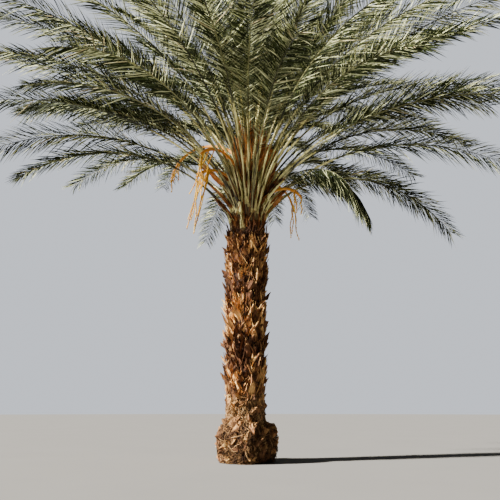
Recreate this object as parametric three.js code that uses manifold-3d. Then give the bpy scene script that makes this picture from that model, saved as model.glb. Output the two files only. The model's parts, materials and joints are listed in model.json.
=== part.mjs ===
// A whole date palm rooted in level ground, in millimetres with +Z up.
// The origin is the middle of the flat cut under the trunk.
// One lattice rule makes the leaf stubs of the trunk, and one arc rule makes every frond.
import * as THREE from 'three';
import { mergeVertices } from 'three/addons/utils/BufferGeometryUtils.js';
import Module from 'manifold-3d';

const wasm = await Module();
wasm.setup();

// Stem and its leaf stubs
const STUBS_AROUND = 12;
const STUB_ROWS = 32;
const ROW_PITCH = 122;
const STEM_RADIUS_LOW = 272;
const STEM_RADIUS_HIGH = 312;
const STUB_DEPTH_LOW = 34;
const STUB_DEPTH_HIGH = 84;
const STUB_HALF_WIDTH = 0.3;
const STUB_LIFT = 0.45;
const STUB_TWIST_DEG = 1.5;
const ROOT_COLLAR_RADIUS = 455;
const ROOT_BUMP_DEPTH = 34;
const COLLAR_SHOULDER = 400;
const COLLAR_TOP = 720;
const COLLAR_LUMP = 0.07;
const FOOT_DRAW = 45;
const FOOT_DRAW_TOP = 240;

// Bud core, the bare cone that carries the fronds
const CORE_FOOT = STUB_ROWS * ROW_PITCH;
const CORE_HEIGHT = 1250;
const CORE_RADIUS_LOW = 292;
const CORE_RADIUS_HIGH = 108;
const CORE_RINGS = 3;
const CROWN_SHIFT = 120;
const SEAT_GAP = 0.4;

// Fronds, from the lowest and oldest to the highest and youngest
const FROND_COUNT = 44;
const GOLDEN_ANGLE_DEG = 137.508;
const FIRST_AZIMUTH_DEG = 186;
const ATTACH_LOW = 4010;
const ATTACH_HIGH = 4990;
const SEAT_DEPTH = 58;
const LENGTH_OLD = 5000;
const LENGTH_PRIME = 5600;
const LENGTH_YOUNG = 4400;
const START_LOW_DEG = 70;
const START_HIGH_DEG = 86;
const END_LOW_DEG = -36;
const END_HIGH_DEG = 58;
const BEND_POWER = 0.84;
const PETIOLE_SHARE = 0.3;
const PETIOLE_STEPS = 4;
const LEAFLET_PAIRS = 20;
const RIB_HALF_BASE = 52;
const RIB_HALF_MID = 24;
const RIB_HALF_TIP = 6;
const RIB_DEPTH_SHARE = 0.95;
const LEAFLET_LONGEST = 540;
const LEAFLET_SHORTEST = 150;
const ANGLE_FOOT_DEG = 62;
const ANGLE_TIP_DEG = 38;
const VEE_FOOT_DEG = 34;
const VEE_TIP_DEG = 8;
const VEE_SPREAD_DEG = 14;
const TIP_LEAFLET = 230;
const CELL = 350;

// A frond whose end slopes down more than this is two pieces, which meet at the top of its bend
const SPLIT_END_DEG = -27;
const SPLIT_SLOPE_DEG = 6;
const SPLIT_GAP = 0.4;

// Young fronds and closed spears in the middle of the crown, joined on one bud
const YOUNG_COUNT = 12;
const YOUNG_PAIRS = 12;
const YOUNG_LENGTH_LOW = 4200;
const YOUNG_LENGTH_HIGH = 3300;
const YOUNG_START_LOW_DEG = 85;
const YOUNG_START_HIGH_DEG = 89;
const YOUNG_END_LOW_DEG = 60;
const YOUNG_END_HIGH_DEG = 82;
const YOUNG_CIRCLE = 36;
const SPEARS = 3;
const SPEAR_LENGTH = 3200;
const SPEAR_RADIUS = 22;
const SPEAR_CIRCLE = 20;
const SPEAR_SPREAD_DEG = 1.6;
const BUD_RADIUS = 74;
const BUD_HEIGHT = 240;

// Fruit stalks that arch out between the fronds, with a brush of bare strands at the end
const STALK_SIDES = 4;
const STALK_STEPS = 8;
const STALK_RADIUS = 17;
const STALK_TIP_RADIUS = 10;
const STALK_BEND = 1.1;
const STRANDS = 5;
const STRAND_RADIUS = 9;
const STRAND_SPREAD_DEG = 22;
const FRUIT_STALKS = [
  { azimuth: 168, attach: 4960, length: 2360, start: 88, end: -88, strand: 420 },
  { azimuth: 214, attach: 4476, length: 1350, start: 84, end: -56, strand: 1150 },
  { azimuth: 231.5, attach: 4703, length: 1590, start: 74, end: -51, strand: 900 },
  { azimuth: 333, attach: 4317, length: 1150, start: 74, end: -63, strand: 700 },
  { azimuth: 45, attach: 4574, length: 1550, start: 79, end: -70, strand: 700 },
];

const rad = THREE.MathUtils.degToRad;
const lerp = THREE.MathUtils.lerp;
const smoothstep = THREE.MathUtils.smoothstep;

function seededRandom(seed) {
  let state = seed;
  return () => {
    state = (state + 0x6d2b79f5) | 0;
    let mixed = Math.imul(state ^ (state >>> 15), 1 | state);
    mixed = (mixed + Math.imul(mixed ^ (mixed >>> 7), 61 | mixed)) ^ mixed;
    return ((mixed ^ (mixed >>> 14)) >>> 0) / 4294967296;
  };
}

// A closed triangle mesh that grows point by point.
class Shell {
  constructor() {
    this.points = [];
    this.faces = [];
  }
  point(p) {
    this.points.push(p);
    return this.points.length - 1;
  }
  face(a, b, c) {
    this.faces.push([a, b, c]);
  }
  quad(a, b, c, d) {
    this.face(a, b, c);
    this.face(a, c, d);
  }
  solid() {
    const geometry = new THREE.BufferGeometry();
    const positions = new Float32Array(this.points.flatMap((p) => [p.x, p.y, p.z]));
    geometry.setAttribute('position', new THREE.BufferAttribute(positions, 3));
    geometry.setIndex(this.faces.flat());
    const merged = mergeVertices(geometry, 1e-3);
    return new wasm.Manifold(new wasm.Mesh({
      numProp: 3,
      vertProperties: merged.attributes.position.array,
      triVerts: new Uint32Array(merged.index.array),
    }));
  }
}

function geometryOf(solid) {
  const mesh = solid.getMesh();
  const positions = new Float32Array(mesh.numVert * 3);
  for (let i = 0; i < mesh.numVert; i += 1) {
    const start = i * mesh.numProp;
    positions.set(mesh.vertProperties.subarray(start, start + 3), i * 3);
  }
  const geometry = new THREE.BufferGeometry();
  geometry.setAttribute('position', new THREE.BufferAttribute(positions, 3));
  geometry.setIndex(new THREE.BufferAttribute(new Uint32Array(mesh.triVerts), 1));
  geometry.computeVertexNormals();
  return geometry;
}

// The stem stands upright and leans a little to +X in the crown.
function axisX(z) {
  return CROWN_SHIFT * (z / (CORE_FOOT + CORE_HEIGHT)) ** 4;
}

// The root collar is lumpy, and the stem above it is round.
function collarAt(z) {
  return 1 - smoothstep(z, COLLAR_SHOULDER, COLLAR_TOP);
}

function lump(z, azimuth) {
  const wave = Math.sin(3 * azimuth + 0.6) + 0.7 * Math.sin(5 * azimuth + 2.1);
  return 1 + COLLAR_LUMP * collarAt(z) * wave;
}

function around(z, radius, azimuth) {
  return new THREE.Vector3(
    axisX(z) + radius * Math.cos(azimuth),
    radius * Math.sin(azimuth),
    z,
  );
}

function stemRadius(z) {
  const taper = lerp(STEM_RADIUS_LOW, STEM_RADIUS_HIGH, z / CORE_FOOT);
  const drawn = FOOT_DRAW * (1 - smoothstep(z, 0, FOOT_DRAW_TOP));
  return taper + (ROOT_COLLAR_RADIUS - STEM_RADIUS_LOW) * collarAt(z) - drawn;
}

function stubDepth(z) {
  const stub = lerp(STUB_DEPTH_LOW, STUB_DEPTH_HIGH, z / CORE_FOOT);
  return lerp(stub, ROOT_BUMP_DEPTH, collarAt(z));
}

function coreRadius(z) {
  return lerp(CORE_RADIUS_LOW, CORE_RADIUS_HIGH, (z - CORE_FOOT) / CORE_HEIGHT);
}

function latticeAzimuth(row, column) {
  const step = (2 * Math.PI) / STUBS_AROUND;
  return (column + row / 2) * step + rad(STUB_TWIST_DEG) * row;
}

// The cone of the bud core on its own, grown by a gap where a frond is cut to it.
function addCoreRings(shell, foot, grow) {
  let below = foot;
  for (let ring = 1; ring <= CORE_RINGS; ring += 1) {
    const z = CORE_FOOT + (CORE_HEIGHT * ring) / CORE_RINGS;
    const above = [];
    for (let i = 0; i < STUBS_AROUND; i += 1) {
      const azimuth = latticeAzimuth(STUB_ROWS, i);
      above.push(shell.point(around(z, coreRadius(z) + grow, azimuth)));
    }
    for (let i = 0; i < STUBS_AROUND; i += 1) {
      const next = (i + 1) % STUBS_AROUND;
      shell.quad(below[i], below[next], above[next], above[i]);
    }
    below = above;
  }
  const tip = shell.point(around(CORE_FOOT + CORE_HEIGHT, 0, 0));
  for (let i = 0; i < STUBS_AROUND; i += 1) {
    shell.face(below[i], below[(i + 1) % STUBS_AROUND], tip);
  }
}

// A diamond lattice of cut leaf stubs, each a wedge whose ridge stands out and up.
function makeTrunk() {
  const random = seededRandom(11);
  const shell = new Shell();
  const rows = [];
  for (let row = 0; row <= STUB_ROWS; row += 1) {
    const z = row * ROW_PITCH;
    const radius = row === STUB_ROWS ? coreRadius(z) : stemRadius(z);
    rows.push([]);
    for (let i = 0; i < STUBS_AROUND; i += 1) {
      const azimuth = latticeAzimuth(row, i);
      rows[row].push(shell.point(around(z, radius * lump(z, azimuth), azimuth)));
    }
  }
  const wrap = (i) => (i + STUBS_AROUND) % STUBS_AROUND;
  const step = (2 * Math.PI) / STUBS_AROUND;
  for (let row = 1; row < STUB_ROWS; row += 1) {
    for (let i = 0; i < STUBS_AROUND; i += 1) {
      const left = rows[row][i];
      const right = rows[row][wrap(i + 1)];
      const bottom = rows[row - 1][wrap(i + 1)];
      const top = rows[row + 1][i];
      const middle = latticeAzimuth(row, i) + step / 2;
      const z = row * ROW_PITCH + ROW_PITCH * STUB_LIFT * (0.6 + 0.6 * random());
      const depth = stubDepth(z) * (0.7 + 0.6 * random());
      const reach = stemRadius(z) * lump(z, middle) + depth;
      const half = step * STUB_HALF_WIDTH * (0.8 + 0.4 * random());
      const ridgeLeft = shell.point(around(z, reach, middle - half));
      const ridgeRight = shell.point(around(z + 12 * random(), reach, middle + half));
      shell.face(bottom, ridgeRight, ridgeLeft);
      shell.face(bottom, right, ridgeRight);
      shell.face(bottom, ridgeLeft, left);
      shell.face(top, ridgeLeft, ridgeRight);
      shell.face(top, left, ridgeLeft);
      shell.face(top, ridgeRight, right);
    }
  }
  const floor = shell.point(new THREE.Vector3(0, 0, 0));
  for (let i = 0; i < STUBS_AROUND; i += 1) {
    const next = wrap(i + 1);
    shell.face(floor, rows[0][next], rows[0][i]);
    shell.face(rows[0][i], rows[0][next], rows[1][i]);
    shell.face(rows[STUB_ROWS][i], rows[STUB_ROWS - 1][next], rows[STUB_ROWS][next]);
  }
  addCoreRings(shell, rows[STUB_ROWS], 0);
  return shell;
}

function makeSeatCutter() {
  const shell = new Shell();
  const foot = [];
  for (let i = 0; i < STUBS_AROUND; i += 1) {
    const azimuth = latticeAzimuth(STUB_ROWS, i);
    foot.push(shell.point(around(CORE_FOOT, CORE_RADIUS_LOW + SEAT_GAP, azimuth)));
  }
  const middle = shell.point(around(CORE_FOOT, 0, 0));
  for (let i = 0; i < STUBS_AROUND; i += 1) {
    shell.face(middle, foot[(i + 1) % STUBS_AROUND], foot[i]);
  }
  addCoreRings(shell, foot, SEAT_GAP);
  return shell.solid();
}

// What is already taken, for leaflets that must stay clear of other pieces.
class Space {
  constructor() {
    this.cells = new Map();
  }
  *keys(triangle) {
    const box = new THREE.Box3().setFromPoints(triangle);
    for (let x = Math.floor(box.min.x / CELL); x <= Math.floor(box.max.x / CELL); x += 1) {
      for (let y = Math.floor(box.min.y / CELL); y <= Math.floor(box.max.y / CELL); y += 1) {
        for (let z = Math.floor(box.min.z / CELL); z <= Math.floor(box.max.z / CELL); z += 1) {
          yield `${x},${y},${z}`;
        }
      }
    }
  }
  add(triangle, owner) {
    for (const key of this.keys(triangle)) {
      if (!this.cells.has(key)) this.cells.set(key, []);
      this.cells.get(key).push({ triangle, owner });
    }
  }
  blocked(triangles, owner) {
    return triangles.some((triangle) => {
      for (const key of this.keys(triangle)) {
        const found = this.cells.get(key) ?? [];
        if (found.some((e) => e.owner !== owner && crosses(triangle, e.triangle))) return true;
      }
      return false;
    });
  }
}

const ray = new THREE.Ray();
const hit = new THREE.Vector3();

function edgeCrosses(from, to, triangle) {
  ray.origin.copy(from);
  ray.direction.copy(to).sub(from);
  const reach = ray.direction.length();
  ray.direction.divideScalar(reach);
  const found = ray.intersectTriangle(...triangle, false, hit);
  return found !== null && found.distanceTo(from) <= reach;
}

function crosses(one, other) {
  for (let i = 0; i < 3; i += 1) {
    if (edgeCrosses(one[i], one[(i + 1) % 3], other)) return true;
    if (edgeCrosses(other[i], other[(i + 1) % 3], one)) return true;
  }
  return false;
}

// The places along a frond's rib: bare petiole first, then one station between each pair.
function stations(frond) {
  const list = [];
  for (let i = 0; i < PETIOLE_STEPS; i += 1) {
    list.push((PETIOLE_SHARE * i) / PETIOLE_STEPS);
  }
  for (let i = 0; i <= frond.pairs; i += 1) {
    list.push(PETIOLE_SHARE + (1 - PETIOLE_SHARE) * (i / frond.pairs) * 0.985);
  }
  return list;
}

// Walks the arc of a frond: its slope falls from start to end as it goes out.
function walkRib(frond, places) {
  const seatZ = frond.attach;
  const azimuth = rad(frond.azimuth);
  const point = around(seatZ, frond.circle ?? coreRadius(seatZ) - SEAT_DEPTH, azimuth);
  const frames = [];
  const fine = 6;
  let previous = 0;
  for (const place of places) {
    for (let i = 0; i < fine; i += 1) {
      const t = lerp(previous, place, (i + 0.5) / fine);
      const step = ((place - previous) * frond.length) / fine;
      point.addScaledVector(ribDirection(frond, t), step);
    }
    previous = place;
    const along = ribDirection(frond, place);
    const heading = azimuth + rad(frond.sweep) * place * place;
    const flat = new THREE.Vector3(-Math.sin(heading), Math.cos(heading), 0);
    const lift = new THREE.Vector3().crossVectors(along, flat);
    const roll = rad(frond.roll) * place;
    const side = flat.clone().multiplyScalar(Math.cos(roll)).addScaledVector(lift, Math.sin(roll));
    const up = lift.multiplyScalar(Math.cos(roll)).addScaledVector(flat, -Math.sin(roll));
    frames.push({ place, point: point.clone(), along, side, up });
  }
  return frames;
}

function ribSlope(frond, t) {
  return lerp(frond.start, frond.end, t ** (frond.bend ?? BEND_POWER));
}

function ribDirection(frond, t) {
  const slope = rad(ribSlope(frond, t));
  const heading = rad(frond.azimuth) + rad(frond.sweep) * t * t;
  return new THREE.Vector3(
    Math.cos(slope) * Math.cos(heading),
    Math.cos(slope) * Math.sin(heading),
    Math.sin(slope),
  );
}

function ribHalfWidth(frond, t) {
  const broad = lerp(frond.base, RIB_HALF_MID, smoothstep(t, 0, PETIOLE_SHARE));
  return lerp(broad, RIB_HALF_TIP, Math.max(0, (t - PETIOLE_SHARE) / (1 - PETIOLE_SHARE)));
}

function leafletLength(frond, t) {
  const out = (t - PETIOLE_SHARE) / (1 - PETIOLE_SHARE);
  const rise = smoothstep(out, -0.12, 0.34);
  const fall = 1 - 0.5 * smoothstep(out, 0.55, 1.05);
  return frond.scale * lerp(LEAFLET_SHORTEST, LEAFLET_LONGEST, rise) * fall;
}

// The rib of a frond or of one half of it: three-sided, with a point triple at each frame.
function ribRings(frond, frames) {
  return frames.map((frame) => {
    const half = ribHalfWidth(frond, frame.place);
    const left = frame.point.clone().addScaledVector(frame.side, half);
    const right = frame.point.clone().addScaledVector(frame.side, -half);
    const keel = frame.point.clone().addScaledVector(frame.up, -2 * half * RIB_DEPTH_SHARE);
    return { left, right, keel };
  });
}

// The point of the leaflet that stands on one side panel of the rib.
function leafletTip(frond, frames, i, hand, choice, random) {
  const a = frames[i];
  const b = frames[i + 1];
  const t = (a.place + b.place) / 2;
  const out = (t - PETIOLE_SHARE) / (1 - PETIOLE_SHARE);
  const angle = rad(lerp(ANGLE_FOOT_DEG, ANGLE_TIP_DEG, out));
  const vee = rad(lerp(VEE_FOOT_DEG, VEE_TIP_DEG, out) + VEE_SPREAD_DEG * (random - 0.5) + choice.vee);
  const reach = leafletLength(frond, t) * choice.share;
  const outward = a.side.clone().multiplyScalar(hand * Math.cos(vee)).addScaledVector(a.up, Math.sin(vee));
  return a.point.clone().lerp(b.point, 0.5)
    .addScaledVector(a.along, reach * Math.cos(angle))
    .addScaledVector(outward, reach * Math.sin(angle));
}

// Lengths and lifts to try in turn, for a leaflet that would touch another piece.
const LEAFLET_CHOICES = [
  { share: 1, vee: 0 },
  { share: 1, vee: 16 },
  { share: 1, vee: -16 },
  { share: 0.75, vee: 0 },
  { share: 0.75, vee: 24 },
  { share: 0.5, vee: 0 },
];

// The four faces of a leaflet, from the corners of its panel to its point.
function leafletFaces(ring, next, hand, tip) {
  const a = hand > 0 ? ring.left : ring.right;
  const b = hand > 0 ? next.left : next.right;
  const corners = [[a, b], [b, next.keel], [next.keel, ring.keel], [ring.keel, a]];
  return corners.map(([p, q]) => (hand > 0 ? [q, p, tip] : [p, q, tip]));
}

function frondTip(frames) {
  const last = frames[frames.length - 1];
  return last.point.clone().addScaledVector(last.along, TIP_LEAFLET);
}

// Chooses each leaflet's tip so that it stays clear of what is already there.
function placeLeaflets(frond, space, random) {
  frond.leaflets = new Map();
  const { frames, rings } = frond;
  for (let i = PETIOLE_STEPS; i < frames.length - 1; i += 1) {
    for (const hand of [1, -1]) {
      const chance = random();
      for (const choice of LEAFLET_CHOICES) {
        const tip = leafletTip(frond, frames, i, hand, choice, chance);
        const faces = leafletFaces(rings[i], rings[i + 1], hand, tip);
        if (tip.z > 0 && !space.blocked(faces, frond.name)) {
          faces.forEach((face) => space.add(face, frond.name));
          frond.leaflets.set(`${i},${hand}`, tip);
          break;
        }
      }
    }
  }
}

// Builds frames first to last of a frond as one closed shell.
function frondShell(frond, first, last, isEnd) {
  const shell = new Shell();
  const marks = [];
  for (let i = first; i <= last; i += 1) {
    const shift = i === last && !isEnd ? -SPLIT_GAP : 0;
    const ring = frond.rings[i];
    const back = frond.frames[i].along.clone().multiplyScalar(shift);
    marks.push([ring.left, ring.right, ring.keel].map((p) => shell.point(p.clone().add(back))));
  }
  const [footLeft, footRight, footKeel] = marks[0];
  shell.face(footLeft, footKeel, footRight);
  for (let k = 0; k < last - first; k += 1) {
    const [left, right, keel] = marks[k];
    const [leftNext, rightNext, keelNext] = marks[k + 1];
    shell.quad(left, right, rightNext, leftNext);
    closePanel(shell, frond, first + k, 1, [left, leftNext, keelNext, keel]);
    closePanel(shell, frond, first + k, -1, [rightNext, right, keel, keelNext]);
  }
  const [left, right, keel] = marks[marks.length - 1];
  if (isEnd) {
    const tip = shell.point(frond.tip);
    shell.face(left, right, tip);
    shell.face(keel, left, tip);
    shell.face(right, keel, tip);
  } else {
    shell.face(left, right, keel);
  }
  return shell;
}

// Closes one side panel of the rib, flat or drawn out to its leaflet's point.
function closePanel(shell, frond, i, hand, corners) {
  const tip = frond.leaflets.get(`${i},${hand}`);
  if (tip === undefined) {
    shell.quad(...corners);
    return;
  }
  const point = shell.point(tip);
  corners.forEach((corner, k) => shell.face(corner, corners[(k + 1) % 4], point));
}

// Single fronds that differ from the even rule, by their place in the order of age.
const SINGLE_FRONDS = {
  1: { azimuth: 321, attach: 4060, length: 2950, start: 76, end: -86, bend: 1, sweep: 0, roll: 0 },
  4: { azimuth: 4, length: 4400, start: 66, end: -58, sweep: 0 },
  12: { azimuth: 33, end: -24 },
  41: { azimuth: 68 },
};

// The even rule: each frond is a golden turn on and a little higher than the one before.
function frondPlan() {
  const random = seededRandom(23);
  const plan = [];
  for (let i = 0; i < FROND_COUNT; i += 1) {
    const youth = i / (FROND_COUNT - 1);
    const prime = 1 - Math.abs(youth - 0.4) / 0.6;
    const length = youth < 0.4
      ? lerp(LENGTH_OLD, LENGTH_PRIME, youth / 0.4)
      : lerp(LENGTH_PRIME, LENGTH_YOUNG, (youth - 0.4) / 0.6);
    plan.push({
      azimuth: FIRST_AZIMUTH_DEG + GOLDEN_ANGLE_DEG * i + 6 * (random() - 0.5),
      attach: lerp(ATTACH_LOW, ATTACH_HIGH, youth),
      length: length * (0.95 + 0.1 * random()),
      start: lerp(START_LOW_DEG, START_HIGH_DEG, youth ** 0.7),
      end: lerp(END_LOW_DEG, END_HIGH_DEG, youth ** 1.15) + 10 * (random() - 0.5),
      sweep: 16 * (random() - 0.5),
      roll: 50 * (random() - 0.5),
      base: lerp(RIB_HALF_BASE, RIB_HALF_MID + 6, youth),
      scale: lerp(0.86, 1, prime),
      pairs: LEAFLET_PAIRS,
      ...SINGLE_FRONDS[i],
      name: `frond_${String(i + 1).padStart(2, '0')}`,
    });
  }
  return plan;
}

// The youngest fronds go on with the same turn, from the bud in the middle.
function youngPlan() {
  const random = seededRandom(41);
  return Array.from({ length: YOUNG_COUNT }, (_, i) => {
    const youth = i / (YOUNG_COUNT - 1);
    return {
      azimuth: FIRST_AZIMUTH_DEG + GOLDEN_ANGLE_DEG * (FROND_COUNT + i),
      attach: CORE_FOOT + CORE_HEIGHT + BUD_HEIGHT * (0.25 + 0.5 * youth),
      circle: YOUNG_CIRCLE * (1 - 0.5 * youth),
      length: lerp(YOUNG_LENGTH_LOW, YOUNG_LENGTH_HIGH, youth) * (0.95 + 0.1 * random()),
      start: lerp(YOUNG_START_LOW_DEG, YOUNG_START_HIGH_DEG, youth),
      end: lerp(YOUNG_END_LOW_DEG, YOUNG_END_HIGH_DEG, youth) + 6 * (random() - 0.5),
      sweep: 16 * (random() - 0.5),
      roll: 50 * (random() - 0.5),
      base: RIB_HALF_MID + 2,
      scale: 0.9 - 0.25 * youth,
      pairs: YOUNG_PAIRS,
      name: `young_${i + 1}`,
    };
  });
}

function addRibToSpace(frond, space) {
  const { rings, name } = frond;
  for (let i = 0; i < rings.length - 1; i += 1) {
    const a = rings[i];
    const b = rings[i + 1];
    const panels = [
      [a.left, b.left, b.right, a.right],
      [a.left, a.keel, b.keel, b.left],
      [a.right, b.right, b.keel, a.keel],
    ];
    panels.forEach(([p, q, r, s]) => {
      space.add([p, q, r], name);
      space.add([p, r, s], name);
    });
  }
}

const greens = { color: 0x5f6b3a, roughness: 0.62, metalness: 0 };

function meshOf(name, solid, look) {
  const mesh = new THREE.Mesh(geometryOf(solid), new THREE.MeshStandardMaterial(look));
  mesh.name = name;
  return mesh;
}

// Gives each frond its rib, and marks it in the space before any leaflet is placed.
function layOut(plan, space) {
  for (const frond of plan) {
    frond.frames = walkRib(frond, stations(frond));
    frond.rings = ribRings(frond, frond.frames);
    frond.tip = frondTip(frond.frames);
    addRibToSpace(frond, space);
  }
}

function addFrond(palm, frond, cutter) {
  const last = frond.frames.length - 1;
  if (frond.end > SPLIT_END_DEG) {
    const solid = frondShell(frond, 0, last, true).solid().subtract(cutter);
    palm.add(meshOf(frond.name, solid, greens));
    return;
  }
  const bend = frond.frames.findIndex((frame) => ribSlope(frond, frame.place) < SPLIT_SLOPE_DEG);
  const arch = frondShell(frond, 0, bend, false).solid().subtract(cutter);
  palm.add(meshOf(`${frond.name}_arch`, arch, greens));
  palm.add(meshOf(`${frond.name}_tip`, frondShell(frond, bend, last, true).solid(), greens));
}

// A tapered round bar along frames, closed at both ends.
function bar(frames, sides, radiusAt) {
  const shell = new Shell();
  const rings = frames.map(({ place, point, side, up }) => Array.from({ length: sides }, (_, i) => {
    const turn = (2 * Math.PI * i) / sides;
    const p = point.clone().addScaledVector(side, radiusAt(place) * Math.cos(turn));
    return shell.point(p.addScaledVector(up, radiusAt(place) * Math.sin(turn)));
  }));
  const ends = [frames[0], frames[frames.length - 1]].map((frame) => shell.point(frame.point.clone()));
  for (let i = 0; i < sides; i += 1) {
    const next = (i + 1) % sides;
    shell.face(ends[0], rings[0][next], rings[0][i]);
    shell.face(ends[1], rings[rings.length - 1][i], rings[rings.length - 1][next]);
    for (let k = 0; k < rings.length - 1; k += 1) {
      shell.quad(rings[k][i], rings[k][next], rings[k + 1][next], rings[k + 1][i]);
    }
  }
  return shell.solid();
}

// Frames along a straight line from a point in one direction.
function straight(from, along, length, places) {
  const side = new THREE.Vector3(0, 1, 0).cross(along).normalize();
  const up = new THREE.Vector3().crossVectors(along, side);
  return places.map((place) => ({
    place,
    point: from.clone().addScaledVector(along, length * place),
    side,
    up,
  }));
}

function makeBud() {
  const foot = CORE_FOOT + CORE_HEIGHT + SEAT_GAP;
  const upright = new THREE.Vector3(0, 0, 1);
  const bud = straight(around(foot, 0, 0), upright, BUD_HEIGHT, [0, 1]);
  let solid = bar(bud, 8, (t) => BUD_RADIUS * (1 - 0.35 * t));
  for (let i = 0; i < SPEARS; i += 1) {
    const azimuth = ((i + 0.4) * 2 * Math.PI) / SPEARS;
    const spread = rad(SPEAR_SPREAD_DEG);
    const along = new THREE.Vector3(
      Math.sin(spread) * Math.cos(azimuth),
      Math.sin(spread) * Math.sin(azimuth),
      Math.cos(spread),
    );
    const start = around(foot + BUD_HEIGHT / 2, SPEAR_CIRCLE, azimuth);
    const frames = straight(start, along, SPEAR_LENGTH * (1 - 0.09 * i), [0, 0.8, 1]);
    solid = solid.add(bar(frames, 5, (t) => SPEAR_RADIUS * (t < 0.9 ? 1 : 0.2)));
  }
  return solid;
}

// An even spread of values from 0 to 1 for strands in turn.
function share(i, ratio) {
  return (i * ratio) % 1;
}

function makeStalk(stalk, cutter) {
  const places = Array.from({ length: STALK_STEPS + 1 }, (_, i) => i / STALK_STEPS);
  const frames = walkRib({ ...stalk, bend: STALK_BEND, sweep: 0, roll: 0 }, places);
  let solid = bar(frames, STALK_SIDES, (t) => lerp(STALK_RADIUS, STALK_TIP_RADIUS, t));
  for (let i = 0; i < STRANDS; i += 1) {
    const { point, along, side } = frames[STALK_STEPS - (i % 3)];
    const spread = rad(STRAND_SPREAD_DEG) * (2 * share(i + 0.5, 0.618) - 1);
    const down = new THREE.Vector3(0, 0, -1);
    const outward = along.clone().lerp(down, 0.5 + 0.35 * share(i, 0.382)).normalize()
      .multiplyScalar(Math.cos(spread)).addScaledVector(side, Math.sin(spread)).normalize();
    const length = stalk.strand * (0.7 + 0.3 * share(i, 0.618));
    const strand = straight(point.clone(), outward, length, [0, 1]);
    solid = solid.add(bar(strand, 3, (t) => STRAND_RADIUS * (1 - 0.5 * t)));
  }
  return solid.subtract(cutter);
}

function addSolidToSpace(mesh, space) {
  const { position } = mesh.geometry.attributes;
  const corners = Array.from(
    mesh.geometry.index.array,
    (i) => new THREE.Vector3().fromBufferAttribute(position, i),
  );
  for (let i = 0; i < corners.length; i += 3) space.add(corners.slice(i, i + 3), mesh.name);
}

function addStalks(palm, cutter) {
  FRUIT_STALKS.forEach((stalk, i) => {
    const solid = makeStalk(stalk, cutter);
    palm.add(meshOf(`fruit_stalk_${i + 1}`, solid, { color: 0xb8702c, roughness: 0.6, metalness: 0 }));
  });
}

const palm = new THREE.Group();
const space = new Space();
const cutter = makeSeatCutter();
palm.add(meshOf('trunk', makeTrunk().solid(), { color: 0x7a4c2a, roughness: 0.9, metalness: 0 }));
addStalks(palm, cutter);
palm.children.forEach((mesh) => addSolidToSpace(mesh, space));

const random = seededRandom(37);
const fronds = frondPlan();
const young = youngPlan();
layOut([...fronds, ...young], space);
[...fronds, ...young].forEach((frond) => placeLeaflets(frond, space, random));
fronds.forEach((frond) => addFrond(palm, frond, cutter));

// The largest body is the joined outside, without the small hollows where ribs cross.
const [heart] = young
  .reduce(
    (solid, frond) => solid.add(frondShell(frond, 0, frond.frames.length - 1, true).solid()),
    makeBud(),
  )
  .decompose()
  .sort((a, b) => b.volume() - a.volume());
palm.add(meshOf('young_fronds', heart, { color: 0x8a8f4a, roughness: 0.6, metalness: 0 }));

export default palm;
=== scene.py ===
"""Dresses the solid frame of a date palm with bark, leaf bases, fibre, leaflets and fruit stalks.

The trunk lattice and the frond rule are those of the part's source, in metres, carried to finer pieces.
"""

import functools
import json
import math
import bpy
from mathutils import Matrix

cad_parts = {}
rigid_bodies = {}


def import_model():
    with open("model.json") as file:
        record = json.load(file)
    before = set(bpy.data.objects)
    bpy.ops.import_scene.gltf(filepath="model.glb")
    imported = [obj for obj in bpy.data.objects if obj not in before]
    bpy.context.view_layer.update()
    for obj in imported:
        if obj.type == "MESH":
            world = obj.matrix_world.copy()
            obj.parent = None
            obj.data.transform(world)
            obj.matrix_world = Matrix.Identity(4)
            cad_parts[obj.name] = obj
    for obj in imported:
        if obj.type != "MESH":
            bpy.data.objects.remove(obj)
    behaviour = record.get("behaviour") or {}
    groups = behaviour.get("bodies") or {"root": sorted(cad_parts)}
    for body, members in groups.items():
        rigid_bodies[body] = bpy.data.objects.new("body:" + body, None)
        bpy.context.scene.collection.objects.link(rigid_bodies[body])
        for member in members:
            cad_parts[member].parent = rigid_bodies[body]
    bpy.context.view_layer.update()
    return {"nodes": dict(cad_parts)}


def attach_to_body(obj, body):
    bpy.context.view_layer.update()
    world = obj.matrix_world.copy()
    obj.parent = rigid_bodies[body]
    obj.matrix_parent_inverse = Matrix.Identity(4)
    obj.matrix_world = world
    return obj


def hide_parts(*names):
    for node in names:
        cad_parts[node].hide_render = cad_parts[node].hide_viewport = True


bl_info = {
    "name": "Date Palm Tree",
    "version": (1, 0, 0),
    "blender": (4, 5, 0),
    "location": "3D View > Sidebar > Palm",
    "description": "Dresses the frame of a date palm with bark, stubs, fronds and fruit stalks",
    "category": "Object",
}

import bmesh
import bpy
import numpy as np
from bpy.props import FloatProperty, FloatVectorProperty, IntProperty, PointerProperty
from mathutils import Vector

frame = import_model()

FULL_TURN = 2 * math.pi
UP = np.array([0.0, 0.0, 1.0])

# Trunk lattice, as in the source
STUBS_AROUND = 12
STUB_STEP = FULL_TURN / STUBS_AROUND
STUB_ROWS = 32
ROW_PITCH = 0.122
STEM_RADIUS_LOW = 0.272
STEM_RADIUS_HIGH = 0.312
STUB_TWIST = math.radians(1.5)
COLLAR_RADIUS = 0.455
COLLAR_SHOULDER = 0.4
COLLAR_TOP = 0.72
COLLAR_LUMP = 0.07
FOOT_DRAW = 0.045
FOOT_DRAW_TOP = 0.24

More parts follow.
